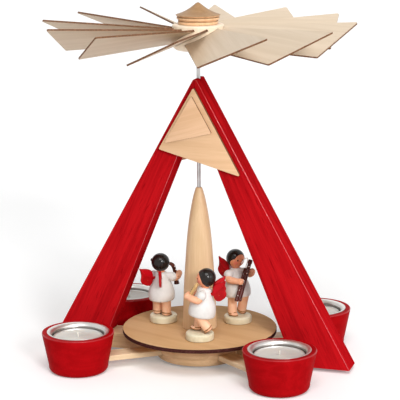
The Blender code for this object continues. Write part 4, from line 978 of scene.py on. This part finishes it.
def build_bassoon(name, stance):
    bottom, top = Vector((13.6, -8, 17.4)), Vector((10.2, 7.5, 47.3))
    shares = (0, 0.03, 0.06, 0.35, 0.62, 0.64, 0.66, 0.9, 0.92, 0.97, 1)
    radii = (1.5, 1.9, 1.7, 1.6, 1.5, 1.8, 1.5, 1.45, 1.8, 1.8, 1.55)
    main = tube([bottom.lerp(top, share) for share in shares], radii, 24, False)
    side = Matrix.Rotation(radians(-122), 3, "Z") @ Vector((2.3, 0, 0))
    boot_shares = (0, 0.03, 0.06, 0.3, 0.6, 0.78, 0.8)
    boot = tube([bottom.lerp(top, share) + side for share in boot_shares],
                (1.4, 1.7, 1.5, 1.5, 1.4, 1.3, 0.9), 24, False)
    web = tube([bottom.lerp(top, share) + side * 0.5 for share in (0.02, 0.3, 0.6, 0.76)],
               (1.2, 1.2, 1.1, 0.9), 16, False)
    figure_piece(name, "tubes", (main, boot, web), "maroon", stance, "bassoon")
    front = Vector((0.84, -0.54, 0.08)) * 1.55
    dots = []
    for share, across in ((0.14, 1), (0.27, 1), (0.4, 0.5), (0.5, 0.35), (0.68, 0.1), (0.84, 0)):
        dots.append(ball(bottom.lerp(top, share) + side * across + front, (0.48,) * 3, segments=12))
    crook = tube(flowing(((9.6, 2.6, 41.6), (9.6, 4.6, 46), (9.3, 5.4, 48.6), (8.4, 4, 49),
                          (7.4, 2.2, 47), (6.3, 1, 45.2)), 6), 0.36, 12)
    figure_piece(name, "metalwork", (*dots, crook), "keys", stance)
    right = arm((1.4, -8.6, 36.4), (3.6, -9.6, 33.6), (9.2, -7.4, 32.6), (13, -5.4, 32.2), (0.6, 2.3, 1.3))
    left = arm((2.4, 8.4, 36.8), (4.6, 9.4, 35.4), (8.4, 8.8, 36.6), (11, 7.6, 38.2), (1.2, -2.4, 0.8))
    figure_piece(name, "arms", (left, right), "skin", stance)


def build_horn(name, stance):
    path = flowing(((6.6, -1, 45.2), (9.2, -2.6, 45.6), (11.2, -4.2, 44), (12.2, -5, 41),
                    (12.8, -5.4, 37), (13.3, -5.7, 33), (13.6, -5.9, 30), (13.8, -6, 28)), 5)
    radii = spread((0.7, 1.2, 1.6, 1.5, 1.4, 1.6, 1.9, 2.2), len(path))
    bell = ball(path[-1], (1.8, 1.8, 0.3), segments=24)
    figure_piece(name, "pipe", (tube(path, radii, 28, False), bell), "dark", stance, "horn")
    dots = [ball(path[number] + Vector((-0.4, -1.5, 0)), (0.45,) * 3, segments=12)
            for number in (12, 16, 20, 24, 28)]
    figure_piece(name, "keys", dots, "keys", stance)
    right = arm((3.2, -8.6, 36.8), (6, -9.4, 36), (10, -9.6, 36), (13, -9, 37.2), (0.4, 2.4, 1.4))
    left = arm((2.6, 8.2, 36.2), (5, 7.6, 33.8), (9.4, 3.8, 33.4), (12.4, -1.8, 33.8), (0.6, -1.6, 2))
    figure_piece(name, "arms", (left, right), "skin", stance)


INSTRUMENTS = {"angel_horn": build_horn, "angel_recorder": build_recorder, "angel_bassoon": build_bassoon}


def build_musicians():
    PAINTS.update(paints())
    for name, pose in POSES.items():
        spot, stance = figure_place(name, pose)
        build_plinth(name, spot)
        build_legs(name, spot, pose)
        build_dress(name, stance, pose)
        build_head(name, stance, pose)
        build_wings(name, stance, pose)
        INSTRUMENTS[name](name, stance)


# Studio

def seen(tree, unseen, direct):
    """One value for rays that only light, and another for what the camera, a mirror or a glass sees."""
    path = tree.nodes.new("ShaderNodeLightPath")
    value = path.outputs["Is Camera Ray"]
    for name in ("Is Glossy Ray", "Is Transmission Ray"):
        either = tree.nodes.new("ShaderNodeMath")
        either.operation = "MAXIMUM"
        tree.links.new(value, either.inputs[0])
        tree.links.new(path.outputs[name], either.inputs[1])
        value = either.outputs["Value"]
    level = tree.nodes.new("ShaderNodeMapRange")
    level.inputs["To Min"].default_value = unseen
    level.inputs["To Max"].default_value = direct
    tree.links.new(value, level.inputs["Value"])
    return level.outputs["Result"]


def build_floor():
    bm = bmesh.new()
    bmesh.ops.create_grid(bm, x_segments=2, y_segments=2, size=14)
    floor = added("floor", mesh_from(bm, "floor"))
    pale = Finish("floor_pale", roughness=0.9, gloss=0.1)
    pale.paint((0.87, 0.87, 0.87))
    pale.set(pale.shader, Emission_Color=(1, 1, 1), Emission_Strength=seen(pale.tree, 0, 0.19))
    floor.data.materials.append(pale.material)


def towards(azimuth, elevation):
    """The direction of a bearing, counted from the front to the right, and a height."""
    return Vector((sin(azimuth) * cos(elevation), -cos(azimuth) * cos(elevation),
                   sin(elevation)))


def sun(name, azimuth, elevation, strength, angle):
    """A broad lamp that shines from a bearing and a height in degrees."""
    lamp = bpy.data.lights.new(name, "SUN")
    lamp.energy = strength
    lamp.angle = radians(angle)
    item = added(name, lamp)
    back = towards(radians(azimuth), radians(elevation))
    item.rotation_euler = back.to_track_quat("Z", "Y").to_euler()
    item.location = back * 2


def build_lights():
    world = bpy.data.worlds.new("studio")
    bpy.context.scene.world = world
    world.use_nodes = True
    sky = world.node_tree.nodes["Background"]
    sky.inputs["Color"].default_value = (1, 1, 1, 1)
    world.node_tree.links.new(seen(world.node_tree, 0.345, 0.95), sky.inputs["Strength"])
    sun("front_key", 40, 23, 1.34, 12)
    sun("front_top", 20, 56, 1.55, 34)
    sun("right_low", 72, 15, 0.43, 24)
    sun("back_fill", 205, 38, 0.24, 40)
    sun("left_strip", -62, 26, 0.05, 12)


def build_camera():
    camera = bpy.data.cameras.new("camera")
    camera.lens = CAMERA_LENS
    camera.sensor_width = CAMERA_SENSOR
    camera.shift_x = CAMERA_SHIFT
    item = added("camera", camera)
    back = towards(CAMERA_AZIMUTH, CAMERA_ELEVATION)
    level = Vector((cos(CAMERA_AZIMUTH), sin(CAMERA_AZIMUTH), 0))
    lifted = back.cross(level)
    right = level * cos(CAMERA_ROLL) + lifted * sin(CAMERA_ROLL)
    up = lifted * cos(CAMERA_ROLL) - level * sin(CAMERA_ROLL)
    turn = Matrix((right, up, back)).transposed().to_4x4()
    item.matrix_world = Matrix.Translation(CAMERA_TARGET + back * CAMERA_DISTANCE) @ turn
    bpy.context.scene.camera = item
    bpy.context.scene.view_settings.view_transform = "Standard"


def write_sizes():
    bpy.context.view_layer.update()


def main():
    build_camera()
    for number, label in enumerate(CUPS):
        build_cup(label, number)
        build_tealight(label, number)
    build_base()
    build_frame()
    build_spindle()
    build_propeller()
    build_musicians()
    build_floor()
    build_lights()
    write_sizes()


main()
